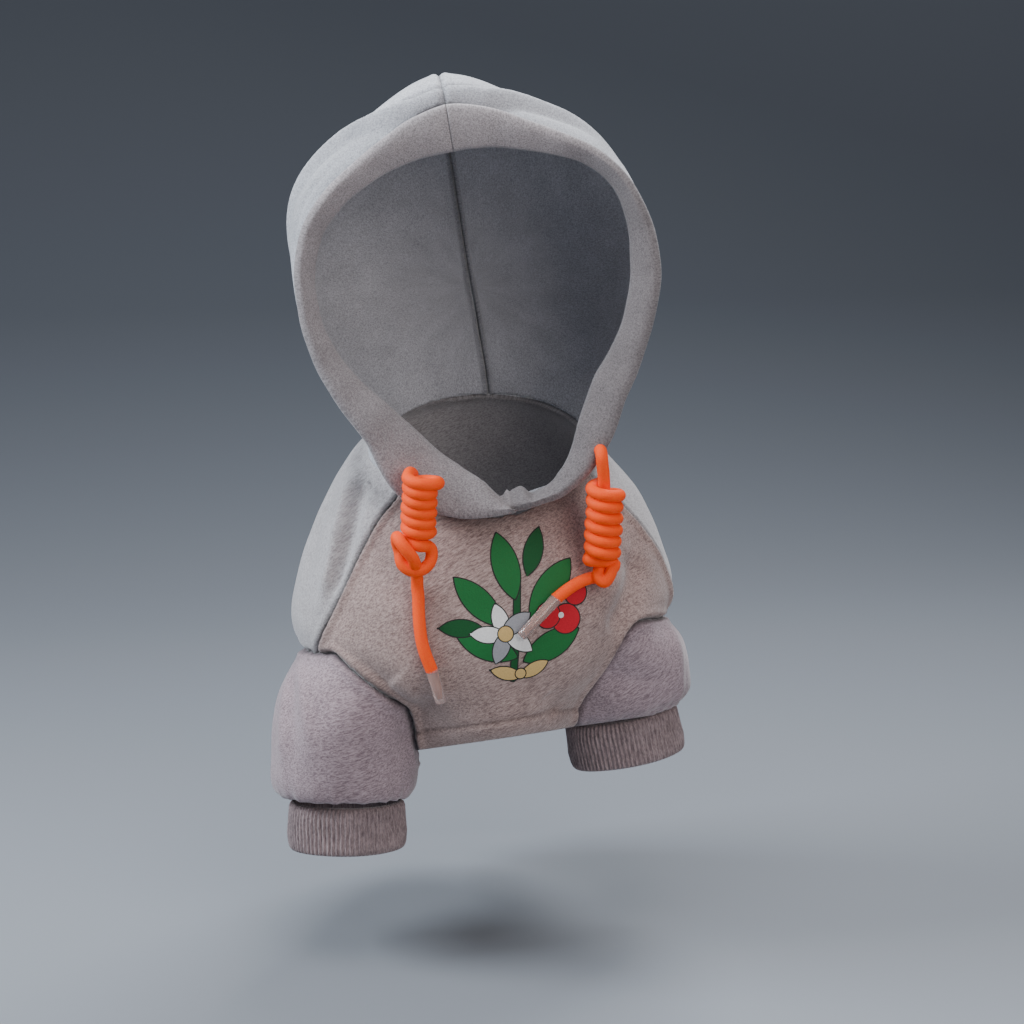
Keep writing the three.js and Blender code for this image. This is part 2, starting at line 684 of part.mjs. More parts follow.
// Turned outer shape of a knot between its top and its foot
function knotGeometry(row) {
    const top = new THREE.Vector3(...row.knot[0]);
    const foot = new THREE.Vector3(...row.knot[1]);
    const length = top.distanceTo(foot);
    const rows = knotProfiles[row.profile];
    const profile = [new THREE.Vector2(0, length)];
    rows.forEach(({ along, radius }) => {
        profile.push(new THREE.Vector2(knotRadius * radius, length * (1 - along)));
    });
    profile.push(new THREE.Vector2(0, 0));
    const geometry = new THREE.LatheGeometry(profile.reverse(), knotSides);
    const upward = top.clone().sub(foot).normalize();
    geometry.applyQuaternion(new THREE.Quaternion().setFromUnitVectors(new THREE.Vector3(0, 1, 0), upward));
    geometry.translate(foot.x, foot.y, foot.z);
    return geometry;
}

// Cord ends
const cordSpacing = cordDiameter;
cordRows.forEach((row) => {
    const pieces = [
        [`cord_${row.side}_neck`, tubeThrough(row.neck, cordDiameter / 2, cordSpacing), materials.cord],
        [`cord_${row.side}_knot`, knotGeometry(row), materials.cord],
        [`cord_${row.side}_tail`, tubeThrough(row.tail, cordDiameter / 2, cordSpacing), materials.cord],
        [`aglet_${row.side}`, tubeThrough(row.aglet, agletRadius, agletRadius * 8), materials.aglet],
    ];
    pieces.forEach(([name, geometry, material]) => addPiece(name, solidOf(geometry), material));
});

// Origin: where the inner face of the back panel lies on the wearer, just below the nape
const seatPlace = neckRow + 0.04;
const seat = bodyPoint(seatPlace, Math.PI, clothWall);
group.position.copy(seat).negate();

export default group;
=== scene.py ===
# A small pullover hoodie in heather grey fleece, held in the form that it has when worn.
# Shapes are worked out in mm from the middle of the neck seam, and moved to the row frame last.
import math

import bmesh
import bpy
import numpy as np
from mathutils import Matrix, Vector
from mathutils.bvhtree import BVHTree
from mathutils.kdtree import KDTree


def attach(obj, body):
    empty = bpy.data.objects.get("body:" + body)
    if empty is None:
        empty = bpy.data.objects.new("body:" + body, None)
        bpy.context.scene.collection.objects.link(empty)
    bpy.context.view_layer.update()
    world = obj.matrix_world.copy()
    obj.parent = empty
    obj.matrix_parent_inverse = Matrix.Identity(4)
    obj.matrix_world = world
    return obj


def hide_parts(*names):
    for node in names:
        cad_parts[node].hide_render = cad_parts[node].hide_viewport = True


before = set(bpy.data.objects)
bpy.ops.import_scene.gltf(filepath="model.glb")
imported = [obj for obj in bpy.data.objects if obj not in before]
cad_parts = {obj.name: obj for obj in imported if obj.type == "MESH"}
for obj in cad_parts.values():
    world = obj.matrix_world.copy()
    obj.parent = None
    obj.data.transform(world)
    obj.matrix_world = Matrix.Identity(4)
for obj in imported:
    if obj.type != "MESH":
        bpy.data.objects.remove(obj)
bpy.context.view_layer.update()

# Driving dimensions in mm, the same as the frame's
CLOTH_WALL = 2.4
BAND_WALL = 3.6
CUFF_WALL = 2.6
BODY_HALF_WIDTH = 80
BODY_FRONT = 62
BODY_BACK = 88
CHEST_LENGTH = 90
BACK_LENGTH = 173
NECK_FRONT_DROP = 8
NECK_BACK_RISE = 28
HOOD_HALF_WIDTH = 73
HOOD_DEPTH = 118
HOOD_MIDDLE = np.array([-12.0, -45.0, 83.0])
BAND_DEPTH = 13
LIP_DEPTH = 4
NECK_FLARE = 34
SETTLE = (0.14, 0.42)
SLEEVE_HALF_WIDTH = 29.5
SLEEVE_HALF_DEPTH = 30
CUFF_HALF_WIDTH = 24.3
CUFF_HALF_DEPTH = 24.5
CUFF_HEIGHT = 20
CORD_DIAMETER = 5
HOOD_YAW = -10
HOOD_PITCH = 6
HOOD_ROLL = 9

PIECE_GAP = 0.3

# Spacing of the skins of the body and of the hood, in mm, and rounds of smoothing
BODY_SKIN = 1.3
HOOD_SKIN = 1.1
SKIN_ROUNDS = 10
# Points closer to a cutting plane than this are drawn on to it, in mm
PLANE_SNAP = 0.3
ON_PLANE = 0.08
# After a cut, edges shorter than this are closed up, in mm
SHORT_EDGE = 0.04
# Loose bits of skin with fewer vertices than this are dropped
CRUMB_SIZE = 60
# Points round each solid and rows along it
BODY_POINTS, BODY_ROWS = 140, 60
ARM_POINTS, ARM_ROWS = 90, 50
HOOD_POINTS, HOOD_ROWS = 200, 70
CUFF_POINTS, CUFF_RIBS = 640, 80
AGLET_POINTS = 40
BAND_ROWS = 260
# Nothing further than this from a sleeve's axis belongs to it, in mm
ARM_REACH = 34
WAVES = 9
# How far from a seam its shape reaches, and the hem's stitch above its edge
SEAM_REACH = 9
HEM_STITCH = 7.4
MOST_SHADE = 0.8
# Stretch of the cloth's fibres along the streaks and across them
FIBRES = (0.28, 1.5, 1.5)


def table(names, rows):
    """Named columns of a short table."""
    columns = zip(*rows)
    return {name: np.array(values, float) for name, values in zip(names.split(), columns)}


# Body sections from above the neck seam to the hem, as in the frame
BODY = table("front drop back fall width pinch roll left right", [
    (0.70, -0.10, 0.45, -0.06, 0.55, 0, 0, 55, 58),
    (0.76, 0.00, 0.51, 0.00, 0.61, 0, 0, 56, 59),
    (0.84, 0.12, 0.58, 0.05, 0.73, 0, 0, 57, 63),
    (0.92, 0.28, 0.65, 0.14, 0.86, 0, 2, 58, 66),
    (0.98, 0.45, 0.74, 0.28, 0.97, 0, 3, 60, 70),
    (1.00, 0.62, 0.82, 0.44, 1.03, 0.02, 4, 66, 74),
    (0.98, 0.76, 0.89, 0.61, 0.98, 0.18, 4, 80, 84),
    (0.94, 0.88, 0.95, 0.81, 0.88, 0.38, 5, 92, 92),
    (0.88, 1.00, 1.00, 1.00, 0.81, 0.42, 5, 96, 96),
])

# Rim and lips of the hood's opening, as shares of the hood's half width at an angle from the top
RIM = table("angle left right lip_left lip_right", [
    (0, 1.00, 1.00, 0.755, 0.755),
    (30, 0.94, 0.95, 0.79, 0.80),
    (60, 0.99, 1.02, 0.87, 0.92),
    (90, 0.965, 1.01, 0.85, 0.85),
    (115, 0.965, 0.975, 0.80, 0.81),
    (135, 1.02, 1.005, 0.79, 0.80),
    (150, 1.19, 1.12, 0.85, 0.90),
    (165, 1.24, 1.21, 0.96, 1.09),
    (172.5, 1.235, 1.215, 1.035, 1.145),
    (180, 1.225, 1.225, 1.175, 1.20),
])

# Hood sections behind the rim, as in the frame
HOOD = table("back size peak left right lift", [
    (0.00, 0.975, 0.00, 0.00, 0.00, 0.00),
    (0.10, 0.975, 0.01, 0.01, 0.00, 0.00),
    (0.18, 1.000, 0.04, 0.07, 0.03, 0.03),
    (0.30, 1.010, 0.07, 0.11, 0.06, 0.05),
    (0.45, 1.010, 0.08, 0.12, 0.07, 0.06),
    (0.60, 0.970, 0.08, 0.09, 0.06, 0.05),
    (0.74, 0.880, 0.07, 0.05, 0.05, 0.03),
    (0.86, 0.720, 0.06, 0.03, 0.03, 0.01),
    (0.95, 0.460, 0.03, 0.00, 0.00, 0.00),
    (1.00, 0.120, 0.00, 0.00, 0.00, -0.02),
])

# Sleeve sections from inside the shoulder to the cuff seam, as in the frame
SLEEVE = table("down width depth", [
    (0.00, 0.60, 0.50),
    (0.08, 0.95, 0.78),
    (0.20, 1.14, 0.94),
    (0.36, 1.18, 1.07),
    (0.54, 1.10, 1.14),
    (0.72, 1.05, 1.09),
    (0.88, 1.05, 1.02),
    (0.96, 0.99, 0.97),
    (1.00, 0.88, 0.88),
])

# Where each sleeve's axis starts and ends, its bow, lean and pitch, and its armhole plane
ARMS = {
    "left": dict(shoulder=(-44, -7, -38), cuff=(-62, -13, -134), bow=-7, lean=-2, pitch=10,
                 seam_tilt=38.7, seam_out=94, sign=-1),
    "right": dict(shoulder=(33, -13, -30), cuff=(57, -11, -104), bow=7, lean=9, pitch=10,
                  seam_tilt=34.9, seam_out=77.3, sign=1),
}


def cubic(before, start, end, after, share):
    """Smooth value between start and end, at a share of the way."""
    square = share * share
    cube = square * share
    return (
        (2 * cube - 3 * square + 1) * start
        + (cube - 2 * square + share) * (end - before) / 2
        + (3 * square - 2 * cube) * end
        + (cube - square) * (after - start) / 2
    )


def column(rows, name, t):
    """Smooth value of a table's column between its rows, at t from 0 to 1."""
    values = rows[name]
    last = len(values) - 1
    place = np.clip(np.asarray(t, float), 0, 1) * last
    row = np.minimum(np.floor(place).astype(int), last - 1)
    ends = (values[np.clip(row + k, 0, last)] for k in (-1, 0, 1, 2))
    return cubic(*ends, place - row)


def smooth_line(points, each, closed=False):
    """Smooth line through points, with each part split. A closed one comes back to its start."""
    points = np.asarray(points, float)
    last = len(points) - 1
    out = []
    for index in range(last + closed):
        spots = [index + k for k in (-1, 0, 1, 2)]
        spots = [s % (last + 1) if closed else min(max(s, 0), last) for s in spots]
        out.extend(cubic(*points[spots], share) for share in np.arange(each) / each)
    if not closed:
        out.append(points[-1])
    return np.array(out)


def place_of(rows, key, value):
    """Position t in a table for a value of its growing column."""
    return np.interp(value, rows[key], np.linspace(0, 1, len(rows[key])))


def smooth_step(value, low, high):
    """Soft step from 0 at low to 1 at high."""
    x = np.clip((np.asarray(value, float) - low) / (high - low), 0, 1)
    return x * x * (3 - 2 * x)


def unit(vector):
    """Vectors scaled to length 1."""
    vector = np.asarray(vector, float)
    return vector / np.maximum(np.linalg.norm(vector, axis=-1, keepdims=True), 1e-12)


def hump(distance, width):
    """Bell curve of a distance."""
    return np.exp(-(distance / width) ** 2)


# ---- shapes as functions
def body_frame(t):
    """Middle, reach to the back, side direction, half width and pinch of the body at t."""
    t = np.atleast_1d(np.asarray(t, float))
    zero = np.zeros_like(t)
    front = np.stack([
        zero,
        -BODY_FRONT * column(BODY, "front", t),
        -NECK_FRONT_DROP - CHEST_LENGTH * column(BODY, "drop", t),
    ], -1)
    back = np.stack([
        zero,
        BODY_BACK * column(BODY, "back", t),
        NECK_BACK_RISE - BACK_LENGTH * column(BODY, "fall", t),
    ], -1)
    roll = np.radians(column(BODY, "roll", t))
    side = np.stack([np.cos(roll), zero, np.sin(roll)], -1)
    half_width = BODY_HALF_WIDTH * column(BODY, "width", t)
    return (front + back) / 2, (back - front) / 2, side, half_width, column(BODY, "pinch", t)


def body_point(t, angle, inset=0.0):
    """Points of the body's sections at an angle from the front."""
    middle, reach, side, half_width, pinch = body_frame(t)
    length = np.linalg.norm(reach, axis=-1)
    along = reach / length[:, None]
    angle = np.broadcast_to(angle, length.shape)
    narrow = 1 - pinch * (1 + np.cos(angle)) / 2
    across = (half_width - inset) * np.sin(angle) * narrow
    return middle - along * ((length - inset) * np.cos(angle))[:, None] + side * across[:, None]


NECK_T = 1 / (len(BODY["front"]) - 1)
neck_middle, neck_reach, neck_side, neck_half_width, _ = (part[0] for part in body_frame(NECK_T))
neck_along = unit(neck_reach)
neck_normal = unit(np.array([0, -neck_reach[2], neck_reach[1]]))
SEAT = body_point(NECK_T + 0.04, math.pi, CLOTH_WALL)[0]

# The neck seam as sewn: its plane stands a few degrees higher on the right
NECK_ROLL = math.radians(5)
neck_up = unit(np.cross((math.cos(NECK_ROLL), 0, math.sin(NECK_ROLL)), neck_along))

yaw, pitch, roll = (math.radians(a) for a in (HOOD_YAW, HOOD_PITCH, HOOD_ROLL))
hood_back = np.array([
    -math.sin(yaw) * math.cos(pitch), math.cos(yaw) * math.cos(pitch), -math.sin(pitch),
])
hood_level = np.array([math.cos(yaw), math.sin(yaw), 0])
hood_upright = np.cross(hood_level, hood_back)
hood_side = hood_level * math.cos(roll) + hood_upright * math.sin(roll)
hood_up = hood_upright * math.cos(roll) - hood_level * math.sin(roll)


def hood_point(angle, radius, back):
    """Points of the hood at an angle from its top, a radius and a depth behind the rim."""
    angle, radius, back = np.broadcast_arrays(angle, radius, back)
    return (
        HOOD_MIDDLE
        + hood_side * (radius * np.sin(angle))[..., None]
        + hood_up * (radius * np.cos(angle))[..., None]
        + hood_back * back[..., None]
    )


def round_turns(count):
    """Angles spread evenly over a full turn."""
    return np.linspace(0, 2 * math.pi, count, endpoint=False)


def turned(angle):
    """Angle from -pi to pi."""
    return np.arctan2(np.sin(angle), np.cos(angle))


def rim_radius(angle, lip=False):
    """Radius of the rim's or the lip's outline at an angle from the top."""
    angle = turned(angle)
    t = place_of(RIM, "angle", np.degrees(np.abs(angle)))
    names = ("lip_left", "lip_right") if lip else ("left", "right")
    left, right = (column(RIM, name, t) for name in names)
    return HOOD_HALF_WIDTH * np.where(angle < 0, left, right)


def hood_radius(t, angle):
    """Radius of the hood's section, with the raised centre seam and the full corners."""
    angle = turned(angle)
    size = column(HOOD, "size", t)
    size = size + column(HOOD, "left", t) * hump(angle + 0.62, 0.6)
    size = size + column(HOOD, "right", t) * hump(angle - 0.52, 0.5)
    return rim_radius(angle) * size + HOOD_HALF_WIDTH * column(HOOD, "peak", t) * hump(angle, 0.32)


def neck_height(points):
    """Height of points above the neck seam's plane."""
    return (points - neck_middle) @ neck_up


def settled(point, share):
    """Draws hood points near the neck seam in to the neck's outline."""
    away = point - neck_middle
    height = away @ neck_normal
    across = away @ neck_side
    along = away @ neck_along
    radius = np.maximum(np.hypot(across, along), 1e-6)
    reach = np.linalg.norm(neck_reach)
    seat = 1 / np.hypot(across / radius / neck_half_width, along / radius / reach)
    wanted = radius + (seat - radius) * share * (1 - smooth_step(height, 0, NECK_FLARE))
    scale = (wanted / radius)[..., None]
    return (
        neck_middle + neck_normal * height[..., None]
        + (neck_side * across[..., None] + neck_along * along[..., None]) * scale
    )


def arm_axes(lean, pitch):
    """Side, front and downward directions of a sleeve."""
    side = np.array([math.cos(lean), 0, math.sin(lean)])
    level = np.array([math.sin(lean), 0, -math.cos(lean)])
    forward = np.array([0, -1.0, 0])
    front = forward * math.cos(pitch) - level * math.sin(pitch)
    down = level * math.cos(pitch) + forward * math.sin(pitch)
    return side, front, down


def arm_ring(arm, t, grow):
    """Ring of a sleeve at t, moved out by grow."""
    down = float(column(SLEEVE, "down", t))
    tilt = math.radians(arm["seam_tilt"]) * (1 - down) * arm["sign"]
    lean = math.radians(arm["lean"]) * down - tilt
    side, front, _ = arm_axes(lean, math.radians(arm["pitch"]) * down ** 2)
    middle = arm["shoulder"] * (1 - down) + arm["cuff"] * down
    middle[0] += arm["bow"] * math.sin(math.pi * down)
    angle = round_turns(ARM_POINTS)[:, None]
    half_width = SLEEVE_HALF_WIDTH * float(column(SLEEVE, "width", t)) + grow
    half_depth = SLEEVE_HALF_DEPTH * float(column(SLEEVE, "depth", t)) + grow
    return middle + side * half_width * np.sin(angle) + front * half_depth * np.cos(angle)


# ---- meshes
def loft(rings):
    """Points and faces of a closed solid through rings, facing out."""
    count = len(rings[0])
    points = np.concatenate([np.concatenate(rings), [rings[0].mean(0), rings[-1].mean(0)]])
    faces = []
    for ring in range(len(rings) - 1):
        for step in range(count):
            a = ring * count + step
            b = ring * count + (step + 1) % count
            faces.append((a, b, b + count, a + count))
    first = len(rings) * count
    last = (len(rings) - 1) * count
    for step in range(count):
        following = (step + 1) % count
        faces.append((first, following, step))
        faces.append((first + 1, last + step, last + following))
    # The first rows tell whether the faces look out
    a, b, c, _ = points[np.array(faces[:count * 3])].transpose(1, 0, 2)
    if np.sum(np.cross(b - a, c - a) * (a - points.mean(0))) < 0:
        faces = [tuple(reversed(f)) for f in faces]
    return points, faces


def mesh_of(points, faces):
    """Blender mesh from points and faces."""
    mesh = bpy.data.meshes.new("work")
    mesh.from_pydata(np.asarray(points).tolist(), [], faces)
    mesh.update()
    return mesh


def tree_of(points, faces):
    """Search tree over a solid's faces."""
    return BVHTree.FromPolygons([Vector(p) for p in points], faces)


def signed_distance(points, tree):
    """Distance of points to a closed solid, negative inside."""
    out = []
    for place in map(Vector, points):
        hit, normal, _, distance = tree.find_nearest(place)
        out.append(distance if (place - hit).dot(normal) > 0 else -distance)
    return np.array(out)


def joined(solids):
    """Points and faces of several solids as one."""
    points, faces = [], []
    for solid_points, solid_faces in solids:
        start = len(points)
        points.extend(np.asarray(solid_points).tolist())
        faces.extend(tuple(i + start for i in face) for face in solid_faces)
    return points, faces


def add_object(name, data):
    """Object in the scene that shows some data."""
    new = bpy.data.objects.new(name, data)
    bpy.context.scene.collection.objects.link(new)
    return new


def smooth_faces(mesh):
    """Lets all faces of a mesh look smooth."""
    mesh.polygons.foreach_set("use_smooth", [True] * len(mesh.polygons))


def one_skin(solids, voxel):
    """Even, smoothed skin over closed solids that overlap. Returns a bmesh."""
    work = add_object("work", mesh_of(*joined(solids)))
    remesh = work.modifiers.new("remesh", "REMESH")
    remesh.mode = "VOXEL"
    remesh.voxel_size = voxel
    even = work.modifiers.new("smooth", "SMOOTH")
    even.factor = 0.5
    even.iterations = SKIN_ROUNDS
    graph = bpy.context.evaluated_depsgraph_get()
    done = bpy.data.meshes.new_from_object(work.evaluated_get(graph))
    bm = bmesh.new()
    bm.from_mesh(done)
    bpy.data.objects.remove(work)
    bpy.data.meshes.remove(done)
    return bm


def points_of(bm):
    """Positions of a bmesh's vertices."""
    bm.verts.ensure_lookup_table()
    return np.array([v.co[:] for v in bm.verts])


def cut_line(bm, field, snap=0.25):
    """Splits the faces of a bmesh where field is zero. Returns the vertices on that line.
    A vertex that is close to the line is moved on to it, so that no thin faces come about."""
    values = field(points_of(bm))
    value_of = {vert: float(value) for vert, value in zip(bm.verts, values)}
    crossing = [e for e in bm.edges if value_of[e.verts[0]] * value_of[e.verts[1]] < 0]
    nearest = {}
    for edge in crossing:
        a, b = edge.verts
        share = value_of[a] / (value_of[a] - value_of[b])
        spot = a.co.lerp(b.co, share)
        for vert, part in ((a, share), (b, 1 - share)):
            if part < snap and part < nearest.get(vert, (1,))[0]:
                nearest[vert] = (part, spot)
    for vert, (_, spot) in nearest.items():
        vert.co = spot
        value_of[vert] = 0.0
    on_line = set(nearest)
    for edge in crossing:
        a, b = edge.verts
        if value_of[a] * value_of[b] < 0:
            share = value_of[a] / (value_of[a] - value_of[b])
            _, vert = bmesh.utils.edge_split(edge, a, share)
            value_of[vert] = 0.0
            on_line.add(vert)
    faces = {face for vert in on_line for face in vert.link_faces}
    for face in faces:
        ends = [v for v in face.verts if v in on_line]
        if len(ends) != 2:
            continue
        first, second = ends
        if not any(edge.other_vert(first) is second for edge in first.link_edges):
            bmesh.utils.face_split(face, first, second)
    return on_line


def plane_line(bm, spot, normal):
    """Splits a bmesh along a plane, after drawing the points close to it on to it."""
    heights = (points_of(bm) - spot) @ normal
    for vert, height in zip(bm.verts, heights):
        if abs(height) < PLANE_SNAP:
            vert.co -= Vector(normal) * float(height)
    bmesh.ops.bisect_plane(
        bm, geom=[*bm.verts, *bm.edges, *bm.faces], dist=0.01,
        plane_co=Vector(spot), plane_no=Vector(normal),
    )


def side_of(bm, field):
    """For each face of a bmesh, whether field is positive at its middle."""
    bm.faces.ensure_lookup_table()
    middles = np.array([f.calc_center_median()[:] for f in bm.faces])
    return field(middles) > 0


def trim(bm, field):
    """Cuts a bmesh where field is zero and keeps the positive side."""
    cut_line(bm, field)
    keep = side_of(bm, field)
    bmesh.ops.delete(bm, geom=[f for f, k in zip(bm.faces, keep) if not k], context="FACES")
    bmesh.ops.dissolve_degenerate(bm, dist=SHORT_EDGE, edges=bm.edges)


def normals_of(bm):
    """Vertex normals of a bmesh, evened out with those of the neighbours."""
    bm.normal_update()
    bm.verts.index_update()
    normals = np.array([v.normal[:] for v in bm.verts])
    ends = np.array([(e.verts[0].index, e.verts[1].index) for e in bm.edges])
    for _ in range(3):
        total = normals.copy()
        np.add.at(total, ends[:, 0], normals[ends[:, 1]])
        np.add.at(total, ends[:, 1], normals[ends[:, 0]])
        normals = unit(total)
    return normals


def move_out(bm, amounts, planes):
    """Moves the vertices of a bmesh along their normals. Those on a plane stay on it."""
    points = points_of(bm)
    steps = normals_of(bm) * np.asarray(amounts)[:, None]
    for spot, normal in planes:
        heights = (points - spot) @ normal
        on_plane = np.abs(heights) < ON_PLANE
        steps -= np.outer(on_plane * (steps @ normal + heights), normal)
    for vert, step in zip(bm.verts, steps):
        vert.co += Vector(step)


def line_distance(points, line):
    """Distance of points to a line of straight parts, and how far along it each lies, 0 to 1."""
    line = np.asarray(line, float)
    lengths = np.linalg.norm(np.diff(line, axis=0), axis=1)
    starts = np.concatenate([[0], np.cumsum(lengths)])
    best = np.full(len(points), 1e9)
    along = np.zeros(len(points))
    for index in range(len(line) - 1):
        step = line[index + 1] - line[index]
        share = np.clip((points - line[index]) @ step / (step @ step), 0, 1)
        distance = np.linalg.norm(points - line[index] - share[:, None] * step, axis=1)
        nearer = distance < best
        best[nearer] = distance[nearer]
        along[nearer] = (starts[index] + share * lengths[index])[nearer] / starts[-1]
    return best, along


def near_distance(points, targets):
    """Distance of points to the nearest target point, as far as a seam's shape reaches."""
    tree = KDTree(len(targets))
    for index, target in enumerate(targets):
        tree.insert(Vector(target), index)
    tree.balance()
    return np.array([min(tree.find(Vector(point))[2], SEAM_REACH) for point in points])


def wave(points, scale, seed):
    """Smooth wandering value from -1 to 1, with hills about scale mm apart."""
    rng = np.random.default_rng(seed)
    total = np.zeros(len(points))
    for _ in range(WAVES):
        direction = unit(rng.normal(size=3))
        length = scale * rng.uniform(0.7, 1.6)
        total += np.sin(2 * math.pi * (points @ direction) / length + rng.uniform(0, 2 * math.pi))
    return total / (WAVES / 2)


def seam_shape(distance, depth):
    """Groove of a seam with a slightly raised edge on both sides."""
    return depth * (-1.1 * hump(distance, 0.9) + 0.42 * hump(distance - 2.6, 1.5))


def take(bm, keep):
    """Copy of a bmesh with only some of its faces, without crumbs that hang on nothing."""
    part = bm.copy()
    part.faces.ensure_lookup_table()
    bmesh.ops.delete(part, geom=[f for f, k in zip(part.faces, keep) if not k], context="FACES")
    waiting = set(part.verts)
    crumbs = []
    while waiting:
        group = [waiting.pop()]
        for vert in group:
            for edge in vert.link_edges:
                other = edge.other_vert(vert)
                if other in waiting:
                    waiting.remove(other)
                    group.append(other)
        if len(group) < CRUMB_SIZE:
            crumbs.extend(group)
    bmesh.ops.delete(part, geom=crumbs, context="VERTS")
    return part


def lay_shade(bm, values):
    """Stores the painted shade at each vertex: how far the cloth's colour is darkened there."""
    layer = bm.verts.layers.float.new("shade")
    for vert, value in zip(bm.verts, values):
        vert[layer] = float(min(value, MOST_SHADE))


def add_piece(name, bm, material, weave, thickness=None):
    """Object from a bmesh in mm. Weave gives each point's place in the cloth's own directions."""
    points = points_of(bm)
    mesh = bpy.data.meshes.new(name)
    bm.to_mesh(mesh)
    bm.free()
    mesh.vertices.foreach_set("co", ((points - SEAT) / 1000).astype(np.float32).ravel())
    smooth_faces(mesh)
    layer = mesh.attributes.new("weave", "FLOAT_VECTOR", "POINT")
    layer.data.foreach_set("vector", weave(points).astype(np.float32).ravel())
    mesh.materials.append(material)
    mesh.update()
    piece = add_object(name, mesh)
    if thickness:
        wall = piece.modifiers.new("wall", "SOLIDIFY")
        wall.thickness = thickness / 1000
        wall.offset = -1
    return piece


def streaks(direction, across):
    """Weave function with the first axis along a direction and the second across it."""
    first = unit(direction)
    third = unit(np.cross(first, across))
    second = np.cross(third, first)
    turn = np.stack([first, second, third], -1)
    return lambda points: points @ turn


# ---- materials
def srgb(red, green, blue):
    """Linear colour from 0 to 255 display values."""
    def linear(value):
        value = value / 255
        return value / 12.92 if value <= 0.04045 else ((value + 0.055) / 1.055) ** 2.4
    return (linear(red), linear(green), linear(blue), 1.0)


def shader(name, colour, roughness, sheen=0.0):
    """Plain material with its main shader."""
    material = bpy.data.materials.new(name)
    material.use_nodes = True
    nodes = material.node_tree.nodes
    main = nodes["Principled BSDF"]
    main.inputs["Base Color"].default_value = srgb(*colour)
    main.inputs["Roughness"].default_value = roughness
    main.inputs["Sheen Weight"].default_value = sheen
    main.inputs["Sheen Roughness"].default_value = 0.45
    main.inputs["Specular IOR Level"].default_value = 0.2
    return material, material.node_tree, main


def add_node(tree, kind, inputs, **settings):
    """Shader node. Its inputs are values, or other nodes' outputs."""
    node = tree.nodes.new("ShaderNode" + kind)
    for name, value in settings.items():
        setattr(node, name, value)
    for key, value in inputs.items():
        if isinstance(value, bpy.types.NodeSocket):
            tree.links.new(value, node.inputs[key])
        else:
            node.inputs[key].default_value = value
    return node


def two_colours(tree, value, *stops):
    """Colour that runs between two stops, each a place and a colour."""
    ramp = add_node(tree, "ValToRGB", {0: value})
    for index, (place, colour) in enumerate(stops):
        ramp.color_ramp.elements[index].position = place
        ramp.color_ramp.elements[index].color = srgb(*colour)
    return ramp.outputs[0]


def toned(tree, colour, tone):
    """Colour made lighter or darker by a tone."""
    return add_node(
        tree, "Mix", {0: 1.0, 6: colour, 7: tone}, data_type="RGBA", blend_type="MULTIPLY",
    ).outputs[2]


def finish_look(tree, main, colour, height, strength, distance):
    """Gives the main shader its colour and a relief."""
    relief = add_node(tree, "Bump", {"Strength": strength, "Distance": distance, "Height": height})
    tree.links.new(colour, main.inputs["Base Color"])
    tree.links.new(relief.outputs[0], main.inputs["Normal"])


def fleece(name, light, dark, sheen=0.35, bump=0.35):
    """Heather cloth: light and dark fibres in streaks, a soft brushed surface, and painted shade
    from the shade attribute.
    """
    material, tree, main = shader(name, light, 0.95, sheen)
    place = add_node(tree, "Attribute", {}, attribute_name="weave").outputs["Vector"]

    def noise(scale, detail, rough, shift):
        stretched = add_node(tree, "VectorMath", {0: place, 1: scale}, operation="MULTIPLY")
        moved = add_node(
            tree, "VectorMath", {0: stretched.outputs[0], 1: (shift, 0, 0)}, operation="ADD",
        )
        return add_node(tree, "TexNoise", {
            "Vector": moved.outputs[0], "Scale": 1.0, "Detail": detail, "Roughness": rough,
        }).outputs["Fac"]

    fibres = noise(FIBRES, 3, 0.65, 0)
    flecks = noise(tuple(3.1 * s for s in FIBRES), 2, 0.6, 17)
    patches = noise((0.05, 0.06, 0.06), 2, 0.5, 31)
    heather = add_node(tree, "Mix", {0: 0.45, 2: fibres, 3: flecks}).outputs[0]
    colour = two_colours(tree, heather, (0.38, dark), (0.60, light))
    tone = add_node(tree, "MapRange", {
        "From Min": 0.3, "From Max": 0.7, "To Min": 0.9, "To Max": 1.06, "Value": patches,
    })
    # Painted shade: the shade attribute darkens the colour towards a deep tone of the dark fibres,
    # in seams, folds and the band's sides.
    painted_shade = add_node(tree, "Attribute", {}, attribute_name="shade")
    shaded = add_node(tree, "Mix", {
        0: painted_shade.outputs["Fac"],
        6: toned(tree, colour, tone.outputs[0]),
        7: srgb(*(0.35 * c for c in dark)),
    }, data_type="RGBA")
    finish_look(tree, main, shaded.outputs[2], heather, bump, 0.0006)
    return material


# The panels are one grey fleece. Their colours are partly the cloth's own tone and partly painted
# light and shade: the hood lighter and cooler, the chest, sleeves and cuffs darker and warmer.
chest_cloth = fleece("chest_cloth", (184, 162, 155), (114, 94, 91))
back_cloth = fleece("back_cloth", (190, 186, 186), (138, 132, 134))
sleeve_cloth = fleece("sleeve_cloth", (178, 160, 165), (112, 95, 101))
hood_cloth = fleece("hood_cloth", (200, 201, 206), (140, 139, 145), sheen=0.45)
band_cloth = fleece("band_cloth", (182, 175, 176), (122, 115, 117), sheen=0.3)
cuff_cloth = fleece("cuff_cloth", (158, 141, 141), (96, 82, 85), bump=0.2)

# ---- body and sleeves in one skin
body_rings = []
for t in np.linspace(0, 1, BODY_ROWS):
    body_rings.append(body_point(np.full(BODY_POINTS, t), round_turns(BODY_POINTS)))
hem_middle, hem_reach, hem_side, _, _ = (part[0] for part in body_frame(1.0))
hem_step = unit(hem_middle - body_frame(0.97)[0][0])
hem_normal = unit(np.cross(hem_side, hem_reach))
if hem_normal @ hem_step < 0:
    hem_normal = -hem_normal
